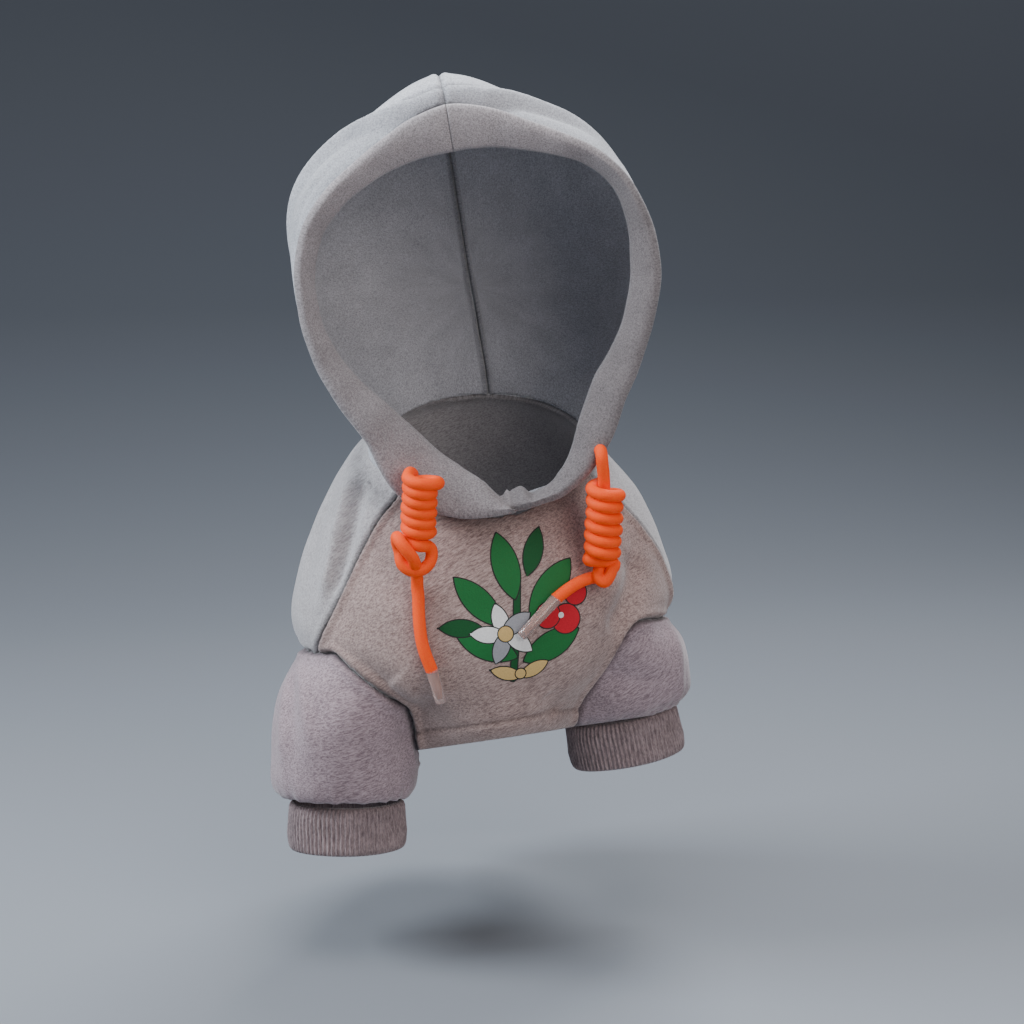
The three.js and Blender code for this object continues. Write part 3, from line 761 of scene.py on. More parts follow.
# One more ring beyond each end, so that the cuts leave clean edges
body_rings.append((body_rings[-1] - hem_middle) * 0.98 + hem_middle + hem_step * 4)
body_rings.insert(0, 2 * body_rings[0] - body_rings[4])
body_solid = loft(body_rings)


def arm_solid(arm, grow, past_cuff):
    """Closed solid of a sleeve moved out by grow, that ends past the cuff's plane."""
    rings = [arm_ring(arm, t, grow) for t in np.linspace(0, 1, ARM_ROWS)]
    rings.append(rings[-1] + arm["down"] * past_cuff)
    return loft(rings)


for arm in ARMS.values():
    arm["shoulder"] = np.array(arm["shoulder"], float)
    arm["cuff"] = np.array(arm["cuff"], float)
    arm["axes"] = arm_axes(math.radians(arm["lean"]), math.radians(arm["pitch"]))
    arm["down"] = arm["axes"][2]
    arm["solid"] = arm_solid(arm, grow=0, past_cuff=8)
torso = one_skin([body_solid, *(arm["solid"] for arm in ARMS.values())], BODY_SKIN)


def above_cuff(arm):
    """Positive above a sleeve's cuff plane, and everywhere away from that sleeve."""
    at, down = arm["cuff"], arm["down"]
    return lambda p: np.maximum(
        (at - p) @ down,
        np.linalg.norm(p - at - np.outer((p - at) @ down, down), axis=1) - ARM_REACH,
    )


def in_front(points):
    """Positive in front of the shoulder and side seams, in mm round the body."""
    # The section whose plane runs through each point
    grid = np.linspace(0, 1, 240)
    middles, reaches, sides, half_widths, pinches = body_frame(grid)
    alongs = unit(reaches)
    ups = unit(np.cross(sides, alongs))
    heights = points @ ups.T - np.sum(middles * ups, axis=1)
    section = np.argmin(np.abs(heights), axis=1)
    away = points - middles[section]
    across = np.sum(away * sides[section], axis=1)
    along = np.sum(away * alongs[section], axis=1)
    ahead = np.clip(-along / np.linalg.norm(reaches[section], axis=1), -1, 1)
    narrow = 1 - pinches[section] * (1 + ahead) / 2
    angle = np.arctan2(across / half_widths[section] / narrow, ahead)
    left = np.radians(column(BODY, "left", grid[section]))
    right = np.radians(column(BODY, "right", grid[section]))
    return np.minimum(angle + left, right - angle) * half_widths[section]


def in_arm(arm):
    """Positive inside a sleeve and beyond its armhole plane."""
    tilt = math.radians(arm["seam_tilt"])
    normal = np.array([arm["sign"] * math.sin(tilt), 0, -math.cos(tilt)])
    tree = arm["tree"]
    return lambda p: np.minimum(-signed_distance(p, tree), p @ normal - arm["seam_out"])


def below_neck(points):
    """Positive below the neck seam. The cloth goes up to the higher one of its two planes."""
    x, y = points[:, 0], points[:, 1]
    right_front = 1.6 * smooth_step(x, 0, 20) * smooth_step(-y, 10, 25)
    left_front = 1.5 * smooth_step(-x, 10, 30) * smooth_step(-y, 0, 20)
    return -np.minimum(
        neck_height(points) - right_front, (points - neck_middle) @ neck_normal - left_front,
    )


for arm in ARMS.values():
    arm["tree"] = tree_of(*arm_solid(arm, grow=1.6, past_cuff=9))
    arm["field"] = in_arm(arm)
trim(torso, below_neck)
for arm in ARMS.values():
    plane_line(torso, arm["cuff"], arm["down"])
    trim(torso, above_cuff(arm))


def in_arms(points):
    """Positive inside either sleeve."""
    return np.maximum(ARMS["left"]["field"](points), ARMS["right"]["field"](points))


arm_line = cut_line(torso, in_arms)
body_tree = tree_of(*body_solid)
seam_spots = [v.co[:] for v in arm_line]


def above_hem(points):
    """Positive above the hem's plane or inside a sleeve."""
    return np.maximum((hem_middle - points) @ hem_normal, in_arms(points) - 1.2)


plane_line(torso, hem_middle, hem_normal)
trim(torso, above_hem)
# The part of a sleeve that the body's lower end had covered, from the sleeve's own skin
for arm in ARMS.values():
    patch = one_skin([arm["solid"]], BODY_SKIN)
    plane_line(patch, hem_middle, hem_normal)
    trim(patch, lambda p: (p - hem_middle) @ hem_normal)
    plane_line(patch, arm["cuff"], arm["down"])
    trim(patch, above_cuff(arm))
    trim(patch, lambda p: 3.2 - signed_distance(p, body_tree))
    if len(patch.faces):
        patch_mesh = bpy.data.meshes.new("patch")
        patch.to_mesh(patch_mesh)
        torso.from_mesh(patch_mesh)
    patch.free()
front_line = cut_line(torso, in_front)
sleeved = side_of(torso, in_arms)
is_front = side_of(torso, in_front)
seam_spots.extend(
    v.co[:] for v in front_line if v.is_valid and in_arms(np.array([v.co[:]]))[0] < 0.1
)

# Folds of body and sleeves: height and width of a ridge, or of a valley if the height is
# negative, and the points that it runs through
FOLDS = [
    (4.0, 3.8, [(-54.2, -0.9, 4.5), (-58.5, -9.3, -4.6), (-62.3, -14.9, -15.1),
        (-65.6, -19.7, -25.6), (-68.5, -21.8, -35.4), (-72, -22, -46.5)]),
    (-2.6, 3.2, [(-51, -7.1, 4.7), (-55.3, -15.7, -5.2), (-59.1, -21.4, -16.3),
        (-62.9, -24, -26.4), (-66.5, -25.2, -36), (-70, -25.3, -46.7)]),
    (-1.6, 5.0, [(-58, 8, 0), (-66, 3, -15), (-73, -4, -32), (-77, -8, -44)]),
    (1.3, 3.6, [(-79.9, -7.8, -73.7), (-81.1, -27.2, -81), (-80.6, -35, -91.4),
        (-79.2, -38.7, -103.1)]),
    (1.5, 4.5, [(-84, -8, -74), (-87.5, -17.6, -87.7), (-89.8, -24.5, -102.6),
        (-90.2, -25.5, -115.2)]),
    (-1.0, 4.0, [(-83, -12, -76), (-85, -24, -86), (-86, -31, -98), (-86, -33, -112)]),
    (-4.4, 6.5, [(57.4, -33.3, -26.7), (55.9, -39.2, -35.5), (52, -44.7, -44.1),
        (45.7, -49.6, -51.8), (38.8, -53.7, -58.8)]),
    (2.2, 10.0, [(41.5, -45.3, -28.3), (40.2, -51.2, -43.5), (33.3, -55.8, -58.7)]),
    (1.8, 7.0, [(-47.2, -46.4, -71.7), (-40.9, -47.4, -76.8), (-36.4, -49.4, -78.2)]),
    (-1.6, 4.0, [(-37.7, -36.9, -90.2), (-34, -45, -85.5), (-30.3, -52.1, -79.4)]),
    (-1.8, 4.0, [(14.7, -57.4, -79), (17.5, -52.6, -86.5), (20.4, -47.5, -92.5)]),
    (0.8, 7.0, [(-27.3, -44.1, -93), (-12.5, -53.2, -93.7), (7.6, -56, -89.9)]),
    (1.4, 5.0, [(70, -26, -55), (74.4, -33, -67.1), (75.5, -36.1, -83.7), (75.9, -29.4, -97.1)]),
    (1.0, 6.0, [(35.2, -42, -84.9), (43.7, -41, -89.6), (55.2, -41.1, -92.3)]),
    (-1.2, 5.0, [(40, -42, -76), (52, -44, -80), (64, -42, -82)]),
    (1.6, 6.0, [(-40, 52, 8), (-50, 56, -30), (-52, 62, -75), (-46, 70, -118)]),
    (-1.4, 7.0, [(-20, 58, 10), (-22, 68, -30), (-20, 76, -75), (-18, 84, -120)]),
    (1.4, 8.0, [(6, 54, 14), (4, 70, -28), (2, 80, -72), (4, 88, -124)]),
    (-1.5, 6.0, [(28, 54, 8), (34, 64, -30), (34, 72, -74), (30, 80, -118)]),
    (1.7, 6.0, [(50, 36, 0), (62, 42, -36), (60, 52, -80), (50, 60, -116)]),
    (1.5, 6.0, [(74, 10, -40), (70, 26, -70), (62, 40, -104)]),
    (-1.3, 6.0, [(-76, 14, -50), (-70, 30, -80), (-60, 44, -112)]),
]


def fold_amount(points):
    """Sum of the folds at points."""
    total = np.zeros(len(points))
    for height, width, line in FOLDS:
        distance, along = line_distance(points, line)
        ends = smooth_step(along, 0, 0.22) * smooth_step(1 - along, 0, 0.22)
        total += height * hump(distance, width) * (0.25 + 0.75 * ends)
    return total


points = points_of(torso)
arm_distance = near_distance(points, [v.co[:] for v in arm_line if v.is_valid])
front_distance = near_distance(points, seam_spots)
front_value = in_front(points)
seam_distance = np.minimum(arm_distance, front_distance)
amount = seam_shape(seam_distance, 1.7)
amount += fold_amount(points)
amount += 0.45 * wave(points, 46, 3) + 0.2 * wave(points, 19, 8)
outside_arms = in_arms(points) < 0.01
# The chest's side of the shoulder seams stands up a little, the back's side lies lower
shoulder = front_distance * np.sign(front_value)
amount += outside_arms * (
    0.7 * hump(shoulder - 1.8, 1.8) - 0.6 * hump(shoulder + 2.5, 2.4) * (shoulder < 0)
)
amount -= 0.8 * hump(neck_height(points), 2.5)
for arm in ARMS.values():
    away = points - arm["cuff"]
    from_cuff = -(away @ arm["down"])
    from_axis = np.linalg.norm(away + np.outer(from_cuff, arm["down"]), axis=1)
    near = (from_axis < 38) * (from_cuff < 40)
    around = np.arctan2(away[:, 0], away[:, 1])
    gathers = np.sin(19 * around + 1.7 * np.sin(5 * around)) + 0.6 * np.sin(31 * around + 2)
    amount += near * 0.42 * gathers * np.exp(-np.abs(from_cuff) / 7)
    amount -= near * 1.0 * hump(from_cuff, 2.6)
from_hem = (hem_middle - points) @ hem_normal
amount += outside_arms * (
    0.55 * smooth_step(HEM_STITCH - from_hem, 0, 0.8) - 0.6 * hump(from_hem - HEM_STITCH, 0.9)
    - 0.9 * hump(from_hem, 2.2)
)
edge_planes = [(hem_middle, hem_normal), (neck_middle, neck_up)]
edge_planes.extend((arm["cuff"], arm["down"]) for arm in ARMS.values())
move_out(torso, amount, edge_planes)

# Seams and stitches lie in shade
seam_shade = 0.5 * hump(seam_distance, 0.9) + 0.22 * hump(seam_distance, 2.6)
seam_shade += outside_arms * 0.4 * hump(from_hem - HEM_STITCH + 0.1, 0.6)
seam_shade += outside_arms * 0.3 * hump(neck_height(points), 3)
lay_shade(torso, seam_shade)

face_x = np.array([f.calc_center_median().x for f in torso.faces])
parts = {
    "sleeve_left": take(torso, sleeved & (face_x < 0)),
    "sleeve_right": take(torso, sleeved & (face_x > 0)),
    "chest_panel": take(torso, ~sleeved & is_front),
    "back_panel": take(torso, ~sleeved & ~is_front),
}


def body_grain(degrees, back=0.0):
    """Weave of a body panel, with streaks that rise by some degrees to the right."""
    rise = math.radians(degrees)
    return streaks((math.cos(rise), back, math.sin(rise)), (0, 0, 1))


weaves = {
    "chest_panel": body_grain(28),
    "back_panel": body_grain(30, 0.3),
    "sleeve_left": streaks((0.97, 0, 0.22), (0, 0, 1)),
    "sleeve_right": streaks((0.85, 0, 0.5), (0, 0, 1)),
}
cloths = {
    "chest_panel": chest_cloth, "back_panel": back_cloth,
    "sleeve_left": sleeve_cloth, "sleeve_right": sleeve_cloth,
}
made = {}
chest_tree = BVHTree.FromBMesh(parts["chest_panel"])
for name, part in parts.items():
    made[name] = add_piece(name, part, cloths[name], weaves[name], CLOTH_WALL)

# ---- cuffs
# Section of a cuff's folded cloth: mm below its top, and mm out from its half width
CUFF_SECTION = [
    (0.0, -1.9), (0.9, -0.7), (2.2, 0.0), (5, 0.35), (9, 0.2), (13, 0.3), (17, 0.35),
    (CUFF_HEIGHT - 1.2, 0.1), (CUFF_HEIGHT - 0.3, -0.6), (CUFF_HEIGHT, -1.5),
    (CUFF_HEIGHT - 0.6, -2.3), (16, -CUFF_WALL), (8, -CUFF_WALL), (0.6, -CUFF_WALL),
]
angle = round_turns(CUFF_POINTS)
ripple = np.cos(CUFF_RIBS * angle + 0.5 * np.sin(3 * angle))
rib = 0.36 * np.sign(ripple) * np.abs(ripple) ** 0.6
steps = np.arange(CUFF_POINTS)
for side, arm in ARMS.items():
    across, ahead, down = arm["axes"]
    rings, faces = [], []
    for row, (drop, out) in enumerate(CUFF_SECTION):
        strength = 1.0 if out > -1.2 else 0.4
        sway = 0.35 * np.sin(2 * angle + 0.4 * drop) + 0.2 * np.sin(5 * angle + 1)
        reach = out + strength * rib + sway
        rings.append(
            arm["cuff"] + down * PIECE_GAP + down * drop
            + np.outer((CUFF_HALF_WIDTH + reach) * np.sin(angle), across)
            + np.outer((CUFF_HALF_DEPTH + reach) * np.cos(angle), ahead)
        )
        ring, following = row * CUFF_POINTS, (row + 1) % len(CUFF_SECTION) * CUFF_POINTS
        next_steps = (steps + 1) % CUFF_POINTS
        corners = (ring + steps, ring + next_steps, following + next_steps, following + steps)
        faces.extend(zip(*(corner.tolist() for corner in corners)))
    cuff = bmesh.new()
    cuff.from_mesh(mesh_of(np.concatenate(rings), faces))
    bmesh.ops.recalc_face_normals(cuff, faces=cuff.faces)
    made[f"cuff_{side}"] = add_piece(f"cuff_{side}", cuff, cuff_cloth, streaks(down, across))

# ---- hood
hood_rings = []
angles = round_turns(HOOD_POINTS)
for t in np.linspace(0, 1, HOOD_ROWS):
    radius = np.maximum(hood_radius(t, angles), HOOD_HALF_WIDTH * 0.05)
    ring = hood_point(angles, radius, HOOD_DEPTH * column(HOOD, "back", t))
    ring = ring + hood_up * HOOD_HALF_WIDTH * float(column(HOOD, "lift", t))
    hood_rings.append(settled(ring, float(smooth_step(t, *SETTLE))))
hood = one_skin([loft(hood_rings)], HOOD_SKIN)


def hood_place(points):
    """Angle from the top, radius and depth behind the rim of points of the hood."""
    away = points - HOOD_MIDDLE
    across = away @ hood_side
    up = away @ hood_up
    return np.arctan2(across, up), np.hypot(across, up), away @ hood_back


trim(hood, lambda p: (p - HOOD_MIDDLE) @ hood_back - BAND_DEPTH - PIECE_GAP)
trim(hood, lambda p: neck_height(p) - PIECE_GAP)


def hood_middle_plane(points):
    """Distance of points to the right of the hood's centre seam."""
    return (points - HOOD_MIDDLE) @ hood_side


cut_line(hood, hood_middle_plane)
on_right = side_of(hood, hood_middle_plane)


def hood_weave(points):
    """Cloth directions of the hood: streaks run back from the band."""
    angle, radius, back = hood_place(points)
    return np.stack([back, angle * 72, radius], -1)


# Where the hood's fold lies: turn from the top in degrees, and mm behind the rim
FOLD_TURNS = [-75, -31, -23, -16, -9, -1, 6, 12, 17, 25, 60]
FOLD_BACKS = [60, 39, 28.5, 22.5, 18.6, 18.4, 19.6, 20.8, 25, 32, 52]

for name, keep in (("hood_left", ~on_right), ("hood_right", on_right)):
    part = take(hood, keep)
    points = points_of(part)
    angle, radius, back = hood_place(points)
    amount = seam_shape(np.abs(hood_middle_plane(points)), 0.9)
    # A sharp fold runs over the top, and goes further back at both sides
    fold_back = np.interp(np.degrees(angle), FOLD_TURNS, FOLD_BACKS)
    past = back - fold_back
    edge = np.where(past < 0, hump(past, 6.5), hump(past, 1.3))
    fold_out = smooth_step(angle, -1.5, -0.8) * smooth_step(-angle, -1.1, -0.6)
    amount += fold_out * (3.6 * edge - 3.2 * hump(past - 3.6, 2.2) - 1.2 * hump(past + 10, 3.2))
    # Painted shade: the cloth is darkened just behind the fold's crest, a little in front of it,
    # behind the band and along the centre seam.
    fold_shade = 0.75 * fold_out * hump(past - 1.2, 1.0) + 0.35 * hump(back - BAND_DEPTH, 1.6)
    fold_shade += 0.16 * fold_out * smooth_step(-past, 0.5, 2.5)
    fold_shade += 0.35 * hump(hood_middle_plane(points), 0.7)
    lay_shade(part, fold_shade)
    groove_back = np.interp(np.degrees(angle), [-95, -60, -30], [26, 22, 20])
    groove_out = smooth_step(-angle, 0.5, 0.8) * smooth_step(angle, -1.7, -1.3)
    amount -= groove_out * 0.9 * hump(back - groove_back, 2.0)
    amount -= 1.0 * hump(back - BAND_DEPTH, 2.0)
    amount += 0.6 * wave(points, 52, 11)
    amount -= 0.9 * hump(neck_height(points), 2.5)
    move_out(part, amount, [
        (neck_middle + neck_up * PIECE_GAP, neck_up),
        (HOOD_MIDDLE + hood_back * (BAND_DEPTH + PIECE_GAP), hood_back),
    ])
    made[name] = add_piece(name, part, hood_cloth, hood_weave, CLOTH_WALL)

# ---- front band of the hood
# Section of the band: what each point's radius is counted from, mm out and mm behind the rim
BAND_INSIDE = -1.6 - BAND_WALL
BAND = [
    ("rim", -2.2, 0.3), ("rim", 0, 2.4), ("rim", -0.6, 7.5), ("rim", -1.6, BAND_DEPTH),
    ("rim", BAND_INSIDE, BAND_DEPTH), ("rim", BAND_INSIDE, LIP_DEPTH + 1.6 + BAND_WALL),
    ("lip", 0.6, LIP_DEPTH + BAND_WALL), ("lip", 0, LIP_DEPTH + BAND_WALL / 2),
    ("lip", 1, LIP_DEPTH), ("middle", 0, 1),
]
# How far the hidden end of the right half stands above the left one
TIP_RISE = 6.5
# How far each half moves forward or back where one lies over the other
OVERLAP = 2.2



def band_weave(points):
    """Cloth directions of the band: streaks run across it."""
    angle, radius, back = hood_place(points)
    return np.stack([radius + back, angle * 66, back - radius], -1)


for side, start, end in (("left", -0.002, -math.pi - 0.015), ("right", 0.002, math.pi + 0.12)):
    rings = []
    for angle in np.linspace(start, end, BAND_ROWS):
        rim = float(rim_radius(angle))
        lip = float(rim_radius(angle, True))
        if side == "right":
            lip -= TIP_RISE * math.exp(-((angle - math.pi + 0.035) / 0.06) ** 4)
            forward = OVERLAP * float(smooth_step(angle, math.pi - 0.10, math.pi))
        else:
            forward = -OVERLAP * float(smooth_step(-angle, math.pi - 0.30, math.pi - 0.02))
        base = {"rim": rim, "lip": lip, "middle": (rim + lip) / 2}
        least = {"rim": lip + 0.3, "lip": 0, "middle": 0}
        outline = [(max(base[name] + out, least[name]), back) for name, out, back in BAND]
        profile = smooth_line(outline, 4, closed=True)
        wobble = 0.35 * math.sin(9 * angle) + 0.3 * math.sin(23 * angle + 1)
        rings.append(hood_point(
            np.full(len(profile), angle),
            profile[:, 0] + 0.3 * wobble, profile[:, 1] + forward + wobble * 0.5,
        ))
    band = bmesh.new()
    band.from_mesh(mesh_of(*loft(rings)))
    trim(band, lambda p: neck_height(p) - 0.2)
    bmesh.ops.holes_fill(band, edges=[e for e in band.edges if e.is_boundary])
    bmesh.ops.recalc_face_normals(band, faces=band.faces)
    # The band's sides and lower part lie in the hood's own shade
    angle, _, _ = hood_place(points_of(band))
    side_shade = 0.30 * smooth_step(np.abs(angle), 0.5, 1.3)
    lay_shade(band, side_shade + 0.20 * smooth_step(angle, 0.5, 1.3))
    made[f"hood_band_{side}"] = add_piece(f"hood_band_{side}", band, band_cloth, band_weave)

# ---- cords: one line from the band through the wraps of the knot to the clear tip
WRAP_POINTS = 16


def wraps(top, foot, first, last, turns, turn_start, radius, bulge):
    """Points of a helix round the line from top to foot, between two shares of its length. It
    goes to the right in front, and bulge widens its first turn on the right."""
    top, foot = np.array(top, float), np.array(foot, float)
    axis = unit(foot - top)
    right = unit(np.array([1, 0, 0]) - axis * axis[0])
    ahead = np.cross(axis, right)
    if ahead[1] > 0:
        ahead = -ahead
    out = []
    for share in np.linspace(0, 1, int(turns * WRAP_POINTS)):
        turn = turn_start - 2 * math.pi * turns * share
        at = top + (foot - top) * (first + (last - first) * share)
        swell = radius * (1 + 0.025 * math.sin(2.3 * turn) + 0.02 * math.sin(5.1 * share * turns))
        wide = bulge * max(math.cos(turn), 0) * float(hump(share * turns - 0.45, 0.5))
        out.append(at + right * (swell * math.cos(turn) + wide) + ahead * swell * math.sin(turn))
    return out


CORDS = {
    "left": dict(
        neck=[(-38.6, -45.5, 9.5), (-38.8, -50.0, 11.4), (-40.2, -52.8, 12.6)],
        top=(-37.2, -59.2, 11.9), foot=(-37.9, -53.2, -29.3), first=0.0, last=0.55, turns=5.6,
        turn_start=math.pi * 1.15, radius=4.7, bulge=2.6,
        after=[(-38, -51.6, -12.6), (-42, -55.5, -13.4), (-38.2, -60, -15.2),
            (-33.8, -57.4, -16.4), (-32.4, -56.6, -19.4), (-33.6, -57.4, -23.2),
            (-37.2, -58.2, -25.6), (-41.4, -58.2, -25.4), (-44.4, -57, -22.8),
            (-44.8, -54.8, -18.8), (-45.8, -54.8, -15.2), (-46.4, -57.6, -12),
            (-45.4, -60.4, -13.6), (-43.4, -61.6, -16.4), (-41, -61.4, -19.6),
            (-39.7, -59.6, -22.8), (-38.6, -55.8, -26.4), (-37.9, -54, -30.4)],
        tail=[(-37.8, -53.4, -33.5), (-37.5, -54, -37.3), (-37.6, -55, -41.8),
            (-37.6, -56, -46.1), (-37.4, -57, -50.3), (-37, -57.8, -54.3), (-36.3, -58.4, -57.6),
            (-35.4, -58.8, -60.7), (-33.5, -59.2, -65.8), (-33.2, -59.2, -66.8)],
        aglet=[(-33.3, -59.2, -66.1), (-29.6, -59.6, -80.3)],
    ),
    "right": dict(
        neck=[(35.2, -57.6, 19.8), (35, -60.8, 19.8), (35, -62.6, 17.6), (35.4, -62.5, 14.2),
            (36, -61.8, 10.4), (36.5, -60.6, 6.5), (36.9, -58.6, 4)],
        top=(36.9, -61.5, 7.8), foot=(36.4, -57.5, -36.8), first=0.05, last=0.725, turns=6.3,
        turn_start=math.pi * 1.5, radius=5.2, bulge=0.8,
        after=[(41.2, -58.6, -26.4), (40, -60.4, -29), (38.6, -61, -31.8), (36.9, -60.8, -33.6),
            (35.2, -59.6, -32.2), (35.3, -58, -29.4), (37.2, -56.8, -28.8), (37.6, -55.8, -31)],
        tail=[(35.4, -55.6, -32.6), (32.4, -56.2, -32.8), (29.9, -56.7, -33.3),
            (27.6, -57.2, -34), (25.3, -57.9, -34.9), (23.1, -58.7, -35.9), (21, -59.5, -37),
            (17.6, -60.8, -39), (16.9, -61, -39.5)],
        aglet=[(17.4, -60.9, -39.2), (1.9, -65, -53.1)],
    ),
}


def cord_stuff():
    """Braided orange cord."""
    material, tree, main = shader("cord_braid", (255, 80, 16), 0.62)
    place = add_node(tree, "TexCoord", {}).outputs["Object"]
    braid = add_node(tree, "TexNoise", {"Vector": place, "Scale": 2400, "Detail": 2})
    braid = braid.outputs["Fac"]
    colour = two_colours(tree, braid, (0.3, (255, 66, 8)), (0.7, (255, 98, 24)))
    finish_look(tree, main, colour, braid, 0.4, 0.0004)
    return material


cord_material = cord_stuff()
tip_material, _, tip_shader = shader("clear_tip", (246, 226, 220), 0.1)
tip_shader.inputs["Transmission Weight"].default_value = 0.8
tip_shader.inputs["Specular IOR Level"].default_value = 0.6
core_material, _, _ = shader("tip_core", (178, 128, 106), 0.5)


def tube(start, axis, rows):
    """Solid round an axis, from rows of a place along it and a radius."""
    across = unit(np.cross(axis, (0, 0, 1)))
    turn = round_turns(AGLET_POINTS)[:, None]
    circle = across * np.cos(turn) + np.cross(axis, across) * np.sin(turn)
    return loft([start + axis * along + circle * radius for along, radius in rows])


for side, row in CORDS.items():
    knot = ("top", "foot", "first", "last", "turns", "turn_start", "radius", "bulge")
    coil = wraps(*(row[name] for name in knot))
    line = smooth_line([*row["neck"], *coil, *row["after"], *row["tail"]], 4)
    line = (line - SEAT) / 1000
    curve = bpy.data.curves.new(f"cord_{side}", "CURVE")
    curve.dimensions = "3D"
    spline = curve.splines.new("POLY")
    spline.points.add(len(line) - 1)
    spline.points.foreach_set("co", np.column_stack([line, np.ones(len(line))]).ravel())
    curve.bevel_depth = CORD_DIAMETER / 2000
    curve.bevel_resolution = 5
    curve.use_fill_caps = True
    curve.materials.append(cord_material)
    cord = add_object(f"cord_{side}", curve)
    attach(cord, "root")
    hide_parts(f"cord_{side}_neck", f"cord_{side}_knot", f"cord_{side}_tail")

    start, end = (np.array(p, float) for p in row["aglet"])
    axis = unit(end - start)
    length = np.linalg.norm(end - start)
    clear = tube(start, axis, [
        (0, 2.35), (0.4, 2.5), (1.2, 2.5), (length * 0.5, 2.3), (length - 0.8, 2.15),
        (length - 0.2, 1.9), (length, 1.5),
    ])
    core = tube(start, axis, [(0.5, 1.5), (2, 1.6), (length * 0.6, 1.2), (length - 2.2, 0.7)])
    tip_points, tip_faces = joined([clear, core])
    tip_mesh = mesh_of((np.array(tip_points) - SEAT) / 1000, tip_faces)
    smooth_faces(tip_mesh)
    tip_mesh.materials.append(tip_material)
    tip_mesh.materials.append(core_material)
    in_core = np.arange(len(tip_faces)) >= len(clear[1])
    tip_mesh.polygons.foreach_set("material_index", in_core.astype(int).tolist())
    tip = add_object(f"aglet_{side}", tip_mesh)
    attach(tip, "root")
    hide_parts(f"aglet_{side}")

# ---- printed sprig on the chest
INKS = {
    "line": (38, 42, 40), "green": (30, 106, 54), "deep": (20, 80, 42), "red": (192, 30, 46),
    "white": (226, 226, 224), "grey": (150, 151, 156), "tan": (203, 172, 112),
}
# Each shape: kind, middle, half length, half width, turn in degrees and ink
MOTIFS = [
    ("pill", -3, -10, 20, 1.3, 80, "deep"),
    ("leaf", -16, -14, 14, 5.6, 152, "green"),
    ("leaf", 12, -18, 14, 5.8, 20, "green"),
    ("leaf", -17, 5, 14, 5.4, 128, "green"),
    ("leaf", 15, 6, 15, 6.2, 42, "green"),
    ("leaf", -3, 18, 14, 5.6, 97, "green"),
    ("leaf", 10, 22, 10, 4.0, 64, "deep"),
    ("leaf", -26, -5, 9, 3.6, 175, "deep"),
    ("round", 20, -8, 6.2, 6.2, 0, "red"),
    ("round", 26, 2, 5.0, 5.0, 0, "red"),
    ("round", 12, -5, 5.4, 5.4, 0, "red"),
    ("round", 18, -6, 1.3, 1.3, 0, "white"),
    ("round", 24.6, 3.6, 1.1, 1.1, 0, "white"),
    ("round", 10.4, -3.4, 1.1, 1.1, 0, "white"),
    ("leaf", -9, -4, 7.5, 3.4, 100, "white"),
    ("leaf", -15, -9, 7.5, 3.4, 172, "white"),
    ("leaf", -10, -15, 7.5, 3.4, 244, "grey"),
    ("leaf", -2.5, -13.5, 7.5, 3.4, 316, "white"),
    ("leaf", -2.5, -6, 7.5, 3.4, 28, "grey"),
    ("round", -7.6, -9.6, 3.2, 3.2, 0, "tan"),
    ("leaf", -9, -27, 7, 2.8, 160, "tan"),
    ("leaf", 3, -27, 7, 2.8, 20, "tan"),
    ("round", -3, -28, 2.2, 2.2, 0, "tan"),
]
PRINT_MIDDLE = (2.4, -43.0)
PRINT_TURN = math.radians(6)
PRINT_SIZE = 0.93


def shape_distance(points, kind, x, y, long, wide, degrees):
    """Distance outside a flat shape, negative inside."""
    turn = math.radians(degrees)
    away = points[:, [0, 2]] - (x, y)
    along = away[:, 0] * math.cos(turn) + away[:, 1] * math.sin(turn)
    across = -away[:, 0] * math.sin(turn) + away[:, 1] * math.cos(turn)
    if kind == "round":
        return np.hypot(along, across) - long
    if kind == "pill":
        return np.hypot(np.maximum(np.abs(along) - long, 0), across) - wide
    # Leaf: where two equal circles overlap
    radius = (long ** 2 + wide ** 2) / (2 * wide)
    return np.hypot(along, np.abs(across) + radius - wide) - radius


PRINT_CELL = 0.75
PRINT_OUT = 0.22
PRINT_FROM = -120
sheet_bm = bmesh.new()
cells = np.arange(-36, 36.1, PRINT_CELL)
grid = [[sheet_bm.verts.new((x, 0, z)) for x in cells] for z in cells]
for low, high in zip(grid, grid[1:]):
    for index in range(len(cells) - 1):
        sheet_bm.faces.new((low[index], low[index + 1], high[index + 1], high[index]))
ink_names = list(INKS)
for face in sheet_bm.faces:
    face.material_index = len(ink_names)
for kind, x, y, long, wide, degrees, ink in MOTIFS:
    for grow, name in ((0.5, "line"), (0.0, ink)):
        if name == "line" and ink == "white" and long < 2:
            continue

        def inside_shape(points):
            return grow - shape_distance(points, kind, x, y, long, wide, degrees)

        cut_line(sheet_bm, inside_shape, 0.12)
        for face, inside in zip(sheet_bm.faces, side_of(sheet_bm, inside_shape)):
            if inside:
                face.material_index = ink_names.index(name)
bare = [f for f in sheet_bm.faces if f.material_index == len(ink_names)]
bmesh.ops.delete(sheet_bm, geom=bare, context="FACES")
for vert in sheet_bm.verts:
    flat_x, flat_z = vert.co.x * PRINT_SIZE, vert.co.z * PRINT_SIZE
    x = flat_x * math.cos(PRINT_TURN) - flat_z * math.sin(PRINT_TURN) + PRINT_MIDDLE[0]
    z = flat_x * math.sin(PRINT_TURN) + flat_z * math.cos(PRINT_TURN) + PRINT_MIDDLE[1]
    spot, normal, _, _ = chest_tree.ray_cast(Vector((x, PRINT_FROM, z)), Vector((0, 1, 0)))
    vert.co = spot + normal * PRINT_OUT


